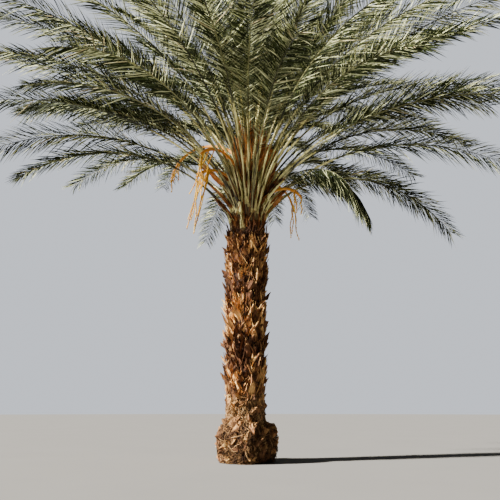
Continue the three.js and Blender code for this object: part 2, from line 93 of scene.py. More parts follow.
# Bud core and crown, as in the source
CORE_FOOT = STUB_ROWS * ROW_PITCH
CORE_HEIGHT = 1.25
CORE_TOP = CORE_FOOT + CORE_HEIGHT
CORE_RADIUS_LOW = 0.292
CORE_RADIUS_HIGH = 0.108
CROWN_SHIFT = 0.12
FROND_COUNT = 44
FROND_SEED = 23
GOLDEN_ANGLE = 137.508
FIRST_AZIMUTH = 186.0
ATTACH_LOW = 4.01
ATTACH_HIGH = 4.99
SEAT_DEPTH = 0.058
BEND_POWER = 0.84
PRIME_YOUTH = 0.4
PETIOLE_SHARE = 0.3
LEAFLETS_END = 0.985
RIB_HALF_BASE = 0.046
RIB_HALF_MID = 0.017
RIB_HALF_TIP = 0.004
YOUNG_COUNT = 12
YOUNG_SEED = 41
YOUNG_CIRCLE = 0.036
YOUNG_PAIRS_SHARE = 0.7
BUD_HEIGHT = 0.24
WALK_STEPS = 120

# Widths of the random spread of the fronds' values in degrees, as in the source
AZIMUTH_SPREAD = 6
END_SPREAD = 10
YOUNG_END_SPREAD = 6
SWEEP_SPREAD = 16
ROLL_SPREAD = 50

# Single fronds that differ from the even rule, as in the source
LIMP = dict(bend=1, sweep=0, roll=0, limp=1.1)
SINGLE_FRONDS = {
    1: dict(LIMP, azimuth=321, attach=4.06, length=2.95, start=76, end=-86),
    4: dict(azimuth=4, length=4.4, start=66, end=-58, sweep=0),
    12: dict(azimuth=33, end=-24),
    41: dict(azimuth=68),
}

# Rounds of finer filling: seed, places in the spiral, turn and share of the length
BETWEEN_ROUNDS = [
    (59, range(2, 42), 288.0, 0.93),
    (77, range(5, 41, 2), 127.0, 0.88),
    (91, range(6, 8), 60.0, 0.9),
]
BETWEEN_BASE_SHARE = 0.85

# Fronds in between that differ too, by seed and place: a limp one that thickens the curtain on the
# right, long flat ones that reach for the upper corners of the picture, and a low one on each side
SINGLE_BETWEEN = {
    (59, 3): dict(LIMP, azimuth=338, attach=4.12, length=2.8, start=74, end=-84),
    (77, 9): dict(azimuth=331, attach=4.3, length=5.3, start=58, end=-26, sweep=0),
    (77, 13): dict(azimuth=343, attach=4.4, length=5.3, start=60, end=-12, sweep=0),
    (77, 25): dict(azimuth=204, attach=4.35, length=5.1, start=58, end=-22, sweep=0),
    (77, 11): dict(azimuth=199, attach=4.5, length=5.6, start=61, end=-8, sweep=0),
    (77, 15): dict(azimuth=205, attach=4.6, length=5.75, start=68, end=-6, sweep=0),
    (77, 19): dict(azimuth=217, attach=4.5, length=5.7, start=65, end=-8, sweep=0),
    (77, 17): dict(azimuth=336, attach=4.6, length=5.75, start=68, end=-6, sweep=0),
    (77, 21): dict(azimuth=323, attach=4.5, length=5.7, start=65, end=-8, sweep=0),
    (91, 6): dict(azimuth=196, attach=4.2, length=5.1, start=60, end=-34, sweep=0, roll=-90),
    (91, 7): dict(azimuth=346, attach=4.2, length=5.0, start=58, end=-36, sweep=0, roll=90),
}

# Seeds of the random draws, by what they are for
SEEDS = dict(
    open_tones=3,
    young_tones=4,
    flaps=5,
    leaf_stubs=17,
    trunk_fibre=83,
    rootlets=97,
    crown_fibre=113,
    stalk_spines=29,
    stalk_stumps=47,
    leaflets_low=0,
    leaflets_middle=1,
    leaflets_high=2,
    leaflets_young=9,
    spears=71,
    fruit_strands=61,
    fruit_beads=67,
)

# Photograph's camera, in a frame of 500 by 500
CAMERA_PLACE = (0.08, -10.0, 0.86)
CAMERA_TILT = math.radians(15.5)
CAMERA_LENS = 41.04
CAMERA_SENSOR = 36.0
CAMERA_FAR = 500.0


def lerp(a, b, t):
    return a + (b - a) * t


def smoothstep(x, low, high):
    t = np.clip((x - low) / (high - low), 0.0, 1.0)
    return t * t * (3.0 - 2.0 * t)


def seeded_random(seed):
    """The source's own generator, so that both files draw the same numbers."""
    state = seed

    def draw():
        nonlocal state
        state = (state + 0x6D2B79F5) & 0xFFFFFFFF
        mixed = ((state ^ (state >> 15)) * (1 | state)) & 0xFFFFFFFF
        turned = ((mixed ^ (mixed >> 7)) * (61 | mixed)) & 0xFFFFFFFF
        mixed = ((mixed + turned) & 0xFFFFFFFF) ^ mixed
        return ((mixed ^ (mixed >> 14)) & 0xFFFFFFFF) / 4294967296

    return draw


def spread(draw, width):
    return width * (draw() - 0.5)


def random_of(use):
    return np.random.default_rng(SEEDS[use])


def unit(vectors):
    return vectors / np.linalg.norm(vectors, axis=-1, keepdims=True)


def across(normals, along):
    """The part of each normal that is square to its direction."""
    return unit(normals - along * np.sum(normals * along, -1, keepdims=True))


def level_way(azimuth):
    return np.stack([np.cos(azimuth), np.sin(azimuth), np.zeros_like(azimuth)], -1)


def straight(start, way, length, s):
    """Straight paths from each start, with their points at the shares s of the length."""
    return start[:, None] + way[:, None] * (length[:, None] * s)[..., None]


def held(rows, s):
    """Each row again at every point of its path."""
    return np.repeat(rows[:, None], len(s), axis=1)


def read_at(t, places, rows):
    """Rows of three read between their places."""
    return np.stack([np.interp(t, places, rows[:, k]) for k in range(3)], -1)


def axis_x(z):
    return CROWN_SHIFT * (z / CORE_TOP) ** 4


def collar_at(z):
    return 1.0 - smoothstep(z, COLLAR_SHOULDER, COLLAR_TOP)


def lump(z, azimuth):
    wave = np.sin(3 * azimuth + 0.6) + 0.7 * np.sin(5 * azimuth + 2.1)
    return 1.0 + COLLAR_LUMP * collar_at(z) * wave


def stem_radius(z):
    taper = lerp(STEM_RADIUS_LOW, STEM_RADIUS_HIGH, z / CORE_FOOT)
    drawn = FOOT_DRAW * (1 - smoothstep(z, 0.0, FOOT_DRAW_TOP))
    return taper + (COLLAR_RADIUS - STEM_RADIUS_LOW) * collar_at(z) - drawn


def core_radius(z):
    return lerp(CORE_RADIUS_LOW, CORE_RADIUS_HIGH, (z - CORE_FOOT) / CORE_HEIGHT)


def surface_point(z, azimuth, inset):
    """A place a little inside the stem or the bud core, with the ways outward and round there."""
    radius = np.where(z < CORE_FOOT, stem_radius(z) * lump(z, azimuth), core_radius(z)) - inset
    out = level_way(azimuth)
    place = out * radius[..., None]
    place[..., 0] += axis_x(z)
    place[..., 2] = z
    round_way = np.stack([-out[..., 1], out[..., 0], np.zeros(out.shape[:-1])], -1)
    return place, out, round_way


class Frond:
    """One frond of the source's rule: its slope falls from start to end along its rib, in degrees."""

    circle = None
    bend = BEND_POWER
    sweep = roll = limp = flare = 0.0

    def __init__(self, **values):
        self.__dict__.update(values)

    def heading(self, t):
        return np.radians(self.azimuth) + np.radians(self.sweep) * t * t

    def direction(self, t):
        slope = np.radians(lerp(self.start, self.end, t**self.bend))
        heading = self.heading(t)
        level = np.cos(slope)
        return np.stack([level * np.cos(heading), level * np.sin(heading), np.sin(slope)], -1)

    def walk(self, steps):
        """Points, directions, sides and ups at even places from the seat to the tip."""
        t = np.linspace(0.0, 1.0, steps + 1)
        moves = self.direction((t[1:] + t[:-1]) / 2) * (self.length / steps)
        radius = core_radius(self.attach) - SEAT_DEPTH if self.circle is None else self.circle
        seat = level_way(np.radians(self.azimuth)) * radius
        seat += (axis_x(self.attach), 0.0, self.attach)
        points = seat + np.vstack([np.zeros(3), np.cumsum(moves, axis=0)])
        along = self.direction(t)
        heading = self.heading(t)
        flat = np.stack([-np.sin(heading), np.cos(heading), np.zeros_like(t)], -1)
        lift = np.cross(along, flat)
        roll = (np.radians(self.roll) * t)[:, None]
        side = flat * np.cos(roll) + lift * np.sin(roll)
        up = lift * np.cos(roll) - flat * np.sin(roll)
        return t, points, along, side, up

    def frame_at(self, t, steps=WALK_STEPS):
        """Points, directions, sides and ups at any places between the seat and the tip."""
        places, points, *ways = self.walk(steps)
        return read_at(t, places, points), *[unit(read_at(t, places, way)) for way in ways]

    def half_width(self, t):
        broad = lerp(self.base, RIB_HALF_MID, smoothstep(t, 0.0, PETIOLE_SHARE))
        out = np.maximum(0.0, (t - PETIOLE_SHARE) / (1 - PETIOLE_SHARE))
        return lerp(broad, RIB_HALF_TIP, out)


def ruled_frond(youth, azimuth, draw, sizes):
    """The even rule's values for a frond at its place between the oldest and the youngest."""
    past_prime = (youth - PRIME_YOUTH) / (1 - PRIME_YOUTH)
    if past_prime < 0:
        length = lerp(sizes.length_old, sizes.length_prime, youth / PRIME_YOUTH)
    else:
        length = lerp(sizes.length_prime, sizes.length_young, past_prime)
    start = math.degrees(lerp(sizes.start_low, sizes.start_high, youth**0.7))
    end = math.degrees(lerp(sizes.end_low, sizes.end_high, youth**1.15))
    return dict(
        azimuth=azimuth + spread(draw, AZIMUTH_SPREAD),
        attach=lerp(ATTACH_LOW, ATTACH_HIGH, youth),
        length=length * (0.95 + 0.1 * draw()),
        start=start,
        end=end + spread(draw, END_SPREAD),
        sweep=spread(draw, SWEEP_SPREAD),
        roll=spread(draw, ROLL_SPREAD),
        base=lerp(RIB_HALF_BASE, RIB_HALF_MID + 0.006, youth),
        flare=lerp(1.1, 0.4, youth),
        scale=lerp(0.94, 1.0, 1 - abs(past_prime)),
        youth=youth,
        pairs=sizes.pairs,
    )


def frond_plan(sizes):
    """The fronds that are solids too."""
    draw = seeded_random(FROND_SEED)
    plan = []
    for i in range(FROND_COUNT):
        values = ruled_frond(i / (FROND_COUNT - 1), FIRST_AZIMUTH + GOLDEN_ANGLE * i, draw, sizes)
        values.update(SINGLE_FRONDS.get(i, {}))
        plan.append(Frond(**values))
    return plan


def between_plan(sizes):
    """Finer filling: fronds of the same rule in the widest gaps of the spiral, a little shorter."""
    plan = []
    for seed, places, turn, share in BETWEEN_ROUNDS:
        draw = seeded_random(seed)
        for i in places:
            azimuth = FIRST_AZIMUTH + GOLDEN_ANGLE * i + turn
            values = ruled_frond((i + 0.5) / (FROND_COUNT - 1), azimuth, draw, sizes)
            values["length"] *= share
            values["base"] *= BETWEEN_BASE_SHARE
            values.update(SINGLE_BETWEEN.get((seed, i), {}))
            plan.append(Frond(**values))
    return plan


def open_fronds(sizes):
    """All fronds but the young ones, from the oldest to the youngest, with their tones."""
    plan = sorted(frond_plan(sizes) + between_plan(sizes), key=lambda frond: frond.youth)
    return with_tones(plan, "open_tones")


def young_fronds(sizes):
    """The youngest fronds, in a tuft on the bud, with their tones."""
    draw = seeded_random(YOUNG_SEED)
    plan = []
    for i in range(YOUNG_COUNT):
        inner = i / (YOUNG_COUNT - 1)
        values = dict(
            azimuth=FIRST_AZIMUTH + GOLDEN_ANGLE * (FROND_COUNT + i),
            attach=CORE_TOP + BUD_HEIGHT * (0.25 + 0.5 * inner),
            circle=YOUNG_CIRCLE * (1 - 0.5 * inner),
            length=lerp(4.2, 3.3, inner) * (0.95 + 0.1 * draw()),
            start=lerp(85, 89, inner),
            end=lerp(60, 82, inner) + spread(draw, YOUNG_END_SPREAD),
            sweep=spread(draw, SWEEP_SPREAD),
            roll=spread(draw, ROLL_SPREAD),
            base=RIB_HALF_MID + 0.002,
            scale=0.9 - 0.25 * inner,
            youth=1.0,
            pairs=int(sizes.pairs * YOUNG_PAIRS_SHARE),
        )
        plan.append(Frond(**values))
    return with_tones(plan, "young_tones")


# Greens dealt to the low, middle and high fronds, from 0 for painted deep shade to 4 for the palest,
# partly a painted sunlit highlight, and the youths at which the middle and the high ones begin
FROND_TONES = [[0, 0, 1, 1], [0, 1, 1, 2, 2], [2, 3, 3, 4]]
TONE_YOUTHS = [0.2, 0.6]
# Tone of the limp fronds, below the deepest: painted shade on their hanging curtain
LIMP_SHADE_TONE = -1
OLIVE_SHARE = 0.3
DRY_SHARE = 0.03


def with_tones(fronds, use):
    """Deals each frond its tones: duller low down, darker and never palest on the left as painted
    shade, lighter in front as painted light.
    """
    random = random_of(use)
    for frond in fronds:
        green = int(random.choice(FROND_TONES[np.digitize(frond.youth, TONE_YOUTHS)]))
        azimuth = math.radians(frond.azimuth)
        is_left = -math.cos(azimuth) > 0.5
        is_front = -math.sin(azimuth) > 0.7
        # Left fronds are darkened and front ones lightened: painted shade and painted light
        frond.tone = LIMP_SHADE_TONE if frond.limp else max(0, green - 2 * is_left) + is_front
        frond.palest = 3 if frond.youth < 0.25 or is_left else 4
        frond.dry = DRY_SHARE * (1 - frond.youth)
        frond.olive = random.random() < OLIVE_SHARE
    return fronds


class Sum:
    """Wraps a node's output, so that sums on numbers can be written as Python expressions."""

    def __init__(self, graph, socket):
        self.graph = graph
        self.socket = socket

    def math(self, operation, *others):
        return self.graph.add("ShaderNodeMath", dict(enumerate((self, *others))), operation=operation)

    def __add__(self, other):
        return self.math("ADD", other)

    __radd__ = __add__

    def __mul__(self, other):
        return self.math("MULTIPLY", other)

    __rmul__ = __mul__

    def __sub__(self, other):
        return self.math("SUBTRACT", other)

    def __rsub__(self, other):
        return (self * -1.0) + other


class Graph:
    """Adds nodes to a shader or geometry tree."""

    def __init__(self, tree):
        self.tree = tree

    def node(self, kind, values=None, **settings):
        """A node of a type, with its settings, which come first, and its sockets' values or links."""
        node = self.tree.nodes.new(kind)
        for name, value in settings.items():
            if name == "stops":
                self.set_stops(node.color_ramp, value)
            else:
                setattr(node, name, value)
        for name, value in (values or {}).items():
            if isinstance(value, Sum):
                self.tree.links.new(value.socket, node.inputs[name])
            else:
                node.inputs[name].default_value = value
        return node

    def add(self, kind, values=None, output=0, **settings):
        return Sum(self, self.node(kind, values, **settings).outputs[output])

    @staticmethod
    def set_stops(ramp, stops):
        while len(ramp.elements) < len(stops):
            ramp.elements.new(1.0)
        for element, (place, color) in zip(ramp.elements, stops):
            element.position = place
            element.color = (*color, 1.0)

    def parts(self, vector):
        return [Sum(self, part) for part in self.node("ShaderNodeSeparateXYZ", {0: vector}).outputs]

    def noise(self, place, scale, detail, roughness=0.55):
        values = {"Vector": place, "Scale": scale, "Detail": detail, "Roughness": roughness}
        return self.add("ShaderNodeTexNoise", values)

    def attribute(self, name, kind="FLOAT"):
        return self.add("GeometryNodeInputNamedAttribute", {"Name": name}, data_type=kind)


class Finish(Graph):
    """A material and its Principled shader."""

    def __init__(self, name, roughness, specular):
        self.material = bpy.data.materials.new(name)
        self.material.use_nodes = True
        super().__init__(self.material.node_tree)
        self.shader = self.tree.nodes["Principled BSDF"]
        self.shader.inputs["Roughness"].default_value = roughness
        self.shader.inputs["Specular IOR Level"].default_value = specular
        self.place = self.add("ShaderNodeTexCoord", output="Object")

    def grain(self, scale, detail=4.0, squeeze=1.0, roughness=0.55):
        """Noise over the piece; a squeeze under 1 draws it out upwards."""
        place = self.place
        if squeeze < 1.0:
            place = self.add("ShaderNodeMapping", {"Vector": place, "Scale": (1.0, 1.0, squeeze)})
        return self.noise(place, scale, detail, roughness)

    def radial(self, around, upward):
        """Coordinates round the palm's axis and up it, so that streaks follow every stalk."""
        x, y, z = self.parts(self.place)
        azimuth = y.math("ARCTAN2", x - CROWN_SHIFT)
        return self.add("ShaderNodeCombineXYZ", {"X": azimuth * around, "Y": z * upward})

    def blend(self, mask, low, high):
        low, high = [c if isinstance(c, Sum) else (*c, 1.0) for c in (low, high)]
        return self.add("ShaderNodeMix", {0: mask, 6: low, 7: high}, output=2, data_type="RGBA")

    def mask(self, value, low, high):
        values = {"Value": value, "From Min": low, "From Max": high}
        return self.add("ShaderNodeMapRange", values, interpolation_type="SMOOTHSTEP", clamp=True)

    def feed(self, name, value):
        self.tree.links.new(value.socket, self.shader.inputs[name])

    def bump(self, value, depth, strength=1.0):
        values = {"Height": value, "Distance": depth, "Strength": strength}
        self.feed("Normal", self.add("ShaderNodeBump", values))


def link(obj):
    bpy.context.scene.collection.objects.link(obj)
    return obj


def mesh_of(name, points, faces=(), edges=(), **attributes):
    """A mesh with its point attributes; lists of numbers are floats, rows of three are vectors."""
    mesh = bpy.data.meshes.new(name)
    mesh.from_pydata(np.asarray(points).tolist(), [tuple(e) for e in edges], [tuple(f) for f in faces])
    for key, values in attributes.items():
        if values.ndim == 2:
            kind, field = "FLOAT_VECTOR", "vector"
        else:
            kind, field = ("INT" if values.dtype.kind == "i" else "FLOAT"), "value"
        layer = mesh.attributes.new(key, kind, "POINT")
        layer.data.foreach_set(field, values.ravel())
    return mesh


def grown(name, source, tree, **values):
    """Runs a tree of Geometry Nodes on a mesh and keeps the result as a plain mesh."""
    holder = link(bpy.data.objects.new("holder", source))
    modifier = holder.modifiers.new("Grow", "NODES")
    modifier.node_group = tree
    for item in tree.interface.items_tree:
        if item.item_type == "SOCKET" and item.in_out == "INPUT" and item.name in values:
            modifier[item.identifier] = values[item.name]
    depsgraph = bpy.context.evaluated_depsgraph_get()
    mesh = bpy.data.meshes.new_from_object(holder.evaluated_get(depsgraph), depsgraph=depsgraph)
    mesh.name = name
    bpy.data.objects.remove(holder)
    return link(bpy.data.objects.new(name, mesh))


def rest_on_ground(piece):
    """Lifts what a turned or roughened piece sends below the ground up to it."""
    points = np.empty(len(piece.data.vertices) * 3)
    piece.data.vertices.foreach_get("co", points)
    points[2::3] = np.maximum(points[2::3], 0.0)
    piece.data.vertices.foreach_set("co", points)
    return piece


def settle(piece, slot, *nodes):
    """Rides on the palm's one body and hides the solids that it stands for; the finish slot is not
    used.
    """
    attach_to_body(piece, "root")
    if nodes:
        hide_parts(*nodes)


def new_tree(name, **inputs):
    """An empty tree with a Geometry input and output and named inputs for its values."""
    tree = bpy.data.node_groups.new(name, "GeometryNodeTree")
    tree.interface.new_socket("Geometry", in_out="INPUT", socket_type="NodeSocketGeometry")
    for key, kind in inputs.items():
        tree.interface.new_socket(key, in_out="INPUT", socket_type=f"NodeSocket{kind}")
    tree.interface.new_socket("Geometry", in_out="OUTPUT", socket_type="NodeSocketGeometry")
    graph = Graph(tree)
    source = graph.node("NodeGroupInput")
    return graph, {socket.name: Sum(graph, socket) for socket in source.outputs if socket.name}


def close_tree(graph, geometry, materials):
    """Realizes what the tree made and gives each tone its material."""
    made = graph.add("GeometryNodeRealizeInstances", {"Geometry": geometry})
    tone = graph.attribute("tone", "INT") + graph.attribute("part", "INT")
    for k, material in enumerate(materials):
        chosen = graph.add("FunctionNodeCompare", {2: tone, 3: k}, data_type="INT", operation="EQUAL")
        values = {"Geometry": made, "Selection": chosen, "Material": material}
        made = graph.add("GeometryNodeSetMaterial", values)
    graph.node("NodeGroupOutput", {"Geometry": made})
    return graph.tree


def sweep_tree(name, materials, smooth):
    """Draws a profile along every chain of edges, as wide as half_width and facing face_up."""
    graph, inputs = new_tree(name, Profile="Object", Caps="Bool")
    curve = graph.add("GeometryNodeMeshToCurve", {"Mesh": inputs["Geometry"]})
    values = {"Curve": curve, "Normal": graph.attribute("face_up", "FLOAT_VECTOR")}
    curve = graph.add("GeometryNodeSetCurveNormal", values, mode="FREE")
    shape = graph.add("GeometryNodeObjectInfo", {"Object": inputs["Profile"]}, "Geometry")
    values = {
        "Curve": curve,
        "Profile Curve": graph.add("GeometryNodeMeshToCurve", {"Mesh": shape}),
        "Scale": graph.attribute("half_width"),
        "Fill Caps": inputs["Caps"],
    }
    mesh = graph.add("GeometryNodeCurveToMesh", values)
    mesh = graph.add("GeometryNodeSetShadeSmooth", {"Geometry": mesh, "Shade Smooth": smooth})
    return close_tree(graph, mesh, materials)


def scatter_tree(name, materials):
    """Stands a shape of a collection on every point: its Z goes to grow and its Y to face."""
    graph, inputs = new_tree(name, Shapes="Collection")
    values = {"Collection": inputs["Shapes"], "Separate Children": True, "Reset Children": True}
    shapes = graph.add("GeometryNodeCollectionInfo", values)
    grow, face, size = [graph.attribute(key, "FLOAT_VECTOR") for key in ("grow", "face", "size")]
    axes = dict(primary_axis="Z", secondary_axis="Y")
    values = {
        "Points": inputs["Geometry"],
        "Instance": shapes,
        "Pick Instance": True,
        "Instance Index": graph.attribute("pick", "INT"),
        "Rotation": graph.add("FunctionNodeAxesToRotation", {0: grow, 1: face}, **axes),
        "Scale": size,
    }
    return close_tree(graph, graph.add("GeometryNodeInstanceOnPoints", values), materials)


# Relief of the bark: sizes of its noise, how far its fibre is drawn out, and how it grows at the foot
LUMP_SCALE = 7.0
FIBRE_SCALE = 42.0
FIBRE_DRAWN = (1.0, 1.0, 0.16)
FOOT_FALL = 1.4
FOOT_GAIN = 1.6


def relief_tree(name, materials):
    """Raises a rough relief of upright fibre on a smooth mesh."""
    graph, inputs = new_tree(name, Level="Int", Lumps="Float", Fibre="Float")
    values = {"Mesh": inputs["Geometry"], "Level": inputs["Level"]}
    fine = graph.add("GeometryNodeSubdivideMesh", values)
    place = graph.add("GeometryNodeInputPosition")
    height = graph.parts(place)[2]
    coarse = graph.noise(place, LUMP_SCALE, 3.0, 0.5)
    drawn = graph.add("ShaderNodeVectorMath", {0: place, 1: FIBRE_DRAWN}, operation="MULTIPLY")
    strands = graph.noise(drawn, FIBRE_SCALE, 4.0, 0.6)
    rise = (coarse - 0.5) * inputs["Lumps"] + (strands - 0.5) * inputs["Fibre"]
    foot = 1.0 - (height * FOOT_FALL).math("MINIMUM", 1.0)
    rise = rise * (1.0 + foot * FOOT_GAIN)
    normal = graph.add("GeometryNodeInputNormal")
    offset = graph.add("ShaderNodeVectorMath", {0: normal, "Scale": rise}, operation="SCALE")
    moved = graph.add("GeometryNodeSetPosition", {"Geometry": fine, "Offset": offset})
    moved = graph.add("GeometryNodeSetShadeSmooth", {"Geometry": moved, "Shade Smooth": True})
    return close_tree(graph, moved, materials)


# Sections that a sweep draws along its paths, in half widths: their corners and whether they close
RIB_SECTION = (
    [(-1.0, 0.18), (-0.62, 0.34), (0.0, 0.2), (0.62, 0.34), (1.0, 0.18)]
    + [(0.8, -0.5), (0.36, -0.92), (-0.36, -0.92), (-0.8, -0.5)],
    True,
)
STRAP_SECTION = (
    [(-1.0, 0.0), (-0.6, 0.26), (0.6, 0.26), (1.0, 0.0), (0.6, -0.26), (-0.6, -0.26)],
    True,
)
THIN_SECTION = ([(-0.9, -0.45), (0.9, -0.45), (0.0, 0.75)], True)
FOLD_SECTION = ([(-1.0, 0.5), (0.0, 0.0), (1.0, 0.5)], False)
FLAT_SECTION = ([(-1.0, 0.0), (1.0, 0.0)], False)


def swept(name, rows, materials, section, smooth=True):
    """Sweeps a section along paths that all have the same number of points.

    Each row holds one path or many, with their half widths, normals and tones.
    """
    join = np.stack if rows[0][0].ndim == 2 else np.concatenate
    paths, widths, normals, tones = [join(row) for row in zip(*rows)]
    steps = paths.shape[1]
    first = (np.arange(len(paths)) * steps)[:, None] + np.arange(steps - 1)
    source = mesh_of(
        name,
        paths.reshape(-1, 3),
        edges=np.stack([first.ravel(), first.ravel() + 1], -1),
        half_width=widths.reshape(-1),
        face_up=normals.reshape(-1, 3),
        tone=np.repeat(tones, steps) if tones.ndim == 1 else tones.reshape(-1),
    )
    corners, closed = section
    ends = [(i, (i + 1) % len(corners)) for i in range(len(corners) if closed else len(corners) - 1)]
    outline = mesh_of(f"{name}_section", [(x, y, 0.0) for x, y in corners], edges=ends)
    profile = link(bpy.data.objects.new(f"{name}_section", outline))
    tree = sweep_tree(f"{name}_grow", materials, smooth)
    piece = grown(name, source, tree, Profile=profile, Caps=closed)
    bpy.data.objects.remove(profile)
    return piece


def scattered(name, shapes, materials, points, **values):
    """Stands one of the shapes on every point."""
    group = bpy.data.collections.new(f"{name}_shapes")
    for i, mesh in enumerate(shapes):
        group.objects.link(bpy.data.objects.new(f"{name}_{i:02d}", mesh))
    tree = scatter_tree(f"{name}_grow", materials)
    piece = grown(name, mesh_of(name, points, **values), tree, Shapes=group)
    for shape in list(group.objects):
        bpy.data.objects.remove(shape)
    bpy.data.collections.remove(group)
    return piece


def shaded(color, factor):
    return tuple(c * factor for c in color)


def mixed(a, b, share):
    return tuple(lerp(x, y, share) for x, y in zip(a, b))


def made_once(make):
    """Finds a material by its name, and makes it only the first time."""

    @functools.wraps(make)
    def find(name, *values):
        return bpy.data.materials.get(name) or make(name, *values)

    return find


@made_once
def leaf_finish(name, color, pale, roughness, specular):
    """Leaflet skin: a green that shifts a little from one leaflet to the next, with a fine grain."""
    finish = Finish(name, roughness, specular)
    drift = finish.grain(5.0, 3.0)
    grain = finish.grain(160.0, 2.0)
    finish.feed("Base Color", finish.blend(finish.mask(drift, 0.36, 0.66), color, pale))
    finish.feed("Roughness", grain * 0.24 + (roughness - 0.1))
    return finish.material


@made_once
def rib_finish(name, color, pale, speck):
    """Rib and leaf stalk skin: smooth, waxy, with thin streaks along its length between a dark and a
    pale colour, which on the leaf stalks are painted shade and painted highlight, and dark specks.
    """
    finish = Finish(name, 0.36, 0.5)
    streak = finish.noise(finish.radial(26.0, 3.4), 1.0, 3.0, 0.5)
    # The streaks blend the dark and pale colours; on leaf stalks these are painted shade and a painted
    # dappled highlight
    shade = finish.blend(finish.mask(streak, 0.47, 0.54), color, pale)
    specks = finish.mask(finish.grain(46.0, 3.0, 0.3), 0.68, 0.75)
    finish.feed("Base Color", finish.blend(specks * 0.55, shade, speck))
    finish.feed("Roughness", streak * 0.3 + 0.26)
    finish.bump(streak, 0.005, 0.6)
    return finish.material


@made_once
def bark_finish(name, dark, middle, light, worn):
    """Torn leaf-base skin: upright fibre in three browns, weathered tan low down, dark at the foot."""
    finish = Finish(name, 0.86, 0.25)
    fibre = finish.grain(52.0, 6.0, 0.08, 0.66)
    patch = finish.grain(9.0, 4.0, 0.6)
    stops = [(0.4, dark), (0.48, middle), (0.6, light)]
    brown = finish.add("ShaderNodeValToRGB", {"Fac": fibre * 0.45 + patch * 0.55}, stops=stops)
    height = finish.parts(finish.place)[2] + patch * 0.6
    low = 1.0 - finish.mask(height, 0.85, 1.9)
    weathered = low * (finish.mask(height, 0.6, 1.05) * 0.35 + 0.15)
    worn_streak = finish.blend(finish.mask(fibre, 0.42, 0.58), shaded(worn, 0.16), worn)
    finish.feed("Base Color", finish.blend(weathered, brown, worn_streak))
    finish.feed("Roughness", fibre * 0.2 + 0.74)
    finish.bump(fibre, 0.02)
    return finish.material


@made_once
def cut_finish(name, color, grain_color):
    """Cut face of a leaf base: pale wood with brown fibre streaks and the dark ends of its vessels."""
    finish = Finish(name, 0.8, 0.25)
    vessels = finish.mask(finish.grain(150.0, 2.0), 0.5, 0.68)
    streak = finish.mask(finish.grain(60.0, 5.0, 0.12), 0.42, 0.6)
    face = finish.blend(streak, grain_color, color)
    finish.feed("Base Color", finish.blend(vessels * 0.5, face, grain_color))
    finish.bump(streak, 0.006, 0.8)
    return finish.material


@made_once
def fibre_finish(name, dark, light):
    """Dry fibre and matted roots."""
    finish = Finish(name, 0.9, 0.2)
    patch = finish.grain(11.0)
    finish.feed("Base Color", finish.blend(finish.mask(patch, 0.34, 0.68), dark, light))
    return finish.material


def leaf_materials(colors):
    """Six plain leaf colours, dealt out by spray: greens from a painted deep shade to a pale green that
    is partly a painted sunlit highlight, and straw.
    """
    deep, middle, pale, straw = colors.leaf_deep, colors.leaf, colors.leaf_pale, colors.leaf_straw
    # The deepest rows are painted shade; the light and pale rows are partly a painted sunlit highlight
    rows = [
        ("leaf_deep", deep, mixed(deep, middle, 0.35), 0.55, 0.07),
        ("leaf_olive", mixed(deep, middle, 0.45), mixed(deep, middle, 0.8), 0.55, 0.07),
        ("leaf_green", middle, mixed(middle, pale, 0.16), 0.55, 0.07),
        ("leaf_light", mixed(middle, pale, 0.3), mixed(middle, pale, 0.8), 0.55, 0.08),
        ("leaf_pale", mixed(middle, pale, 0.8), pale, 0.55, 0.1),
        ("leaf_straw", straw, mixed(straw, pale, 0.5), 0.6, 0.1),
    ]
    return [leaf_finish(*row) for row in rows]


# Pale towards which the painted highlights of the stalks' streaks go
PAINTED_STALK_HIGHLIGHT = (1.0, 0.97, 0.5)


def rib_materials(colors):
    """Colours of a rib from its sheath to its tip, and two of olive stalks, each streaked between
    painted shade and painted highlight.
    """
    sheath, base, green = colors.sheath, colors.stalk_pale, colors.stalk_green
    steps = [
        ("rib_sheath", mixed(sheath, green, 0.6), 0.12),
        ("rib_foot", mixed(green, base, 0.85), 0.7),
        ("rib_cream", mixed(green, base, 0.95), 0.95),
        ("rib_yellow", mixed(green, base, 0.9), 0.7),
        ("rib_green", shaded(green, 0.8), 0.12),
        ("rib_tip", shaded(mixed(green, colors.leaf_pale, 0.06), 0.6), 0.04),
        ("rib_olive_foot", shaded(mixed(green, sheath, 0.2), 0.75), 0.3),
        ("rib_olive", shaded(green, 0.6), 0.25),
    ]
    speck = shaded(sheath, 0.5)
    pale = mixed(base, PAINTED_STALK_HIGHLIGHT, 0.75)
    # Each colour streaks from painted shade at a quarter of it to a painted highlight near the pale
    return [rib_finish(name, shaded(c, 0.24), mixed(c, pale, share), speck) for name, c, share in steps]


def stub_materials(colors):
    """Three browns of leaf base, each with a cut-face partner."""
    rust, tan, dark, cut = colors.bark, colors.bark_light, colors.bark_dark_and_gap_shade, colors.cut
    rows = [
        # The darkest leaf base also carries the painted shadow belts and the painted shade of the
        # foot's hollows
        ("stub_dark", shaded(dark, 0.7), mixed(dark, rust, 0.3), mixed(dark, rust, 0.6), 0.15),
        ("stub_rust", dark, rust, mixed(rust, tan, 0.5), 0.6),
        ("stub_tan", mixed(dark, rust, 0.5), mixed(rust, tan, 0.5), mixed(tan, cut, 0.4), 0.85),
    ]
    made = []
    for name, low, middle, high, fresh in rows:
        made.append(bark_finish(name, low, middle, high, colors.bark_worn))
        made.append(cut_finish(f"{name}_cut", mixed(middle, cut, fresh), mixed(cut, rust, 0.85)))
    return made


# The stem under the leaf bases shows only in the gaps between them and is kept near black: painted
# shade in those gaps
def bark_materials(colors):
    dark = colors.bark_dark_and_gap_shade
    high = mixed(dark, colors.bark, 0.25)
    worn = shaded(colors.bark_worn, 0.3)
    return [bark_finish("bark", shaded(dark, 0.25), shaded(dark, 0.6), high, worn)]


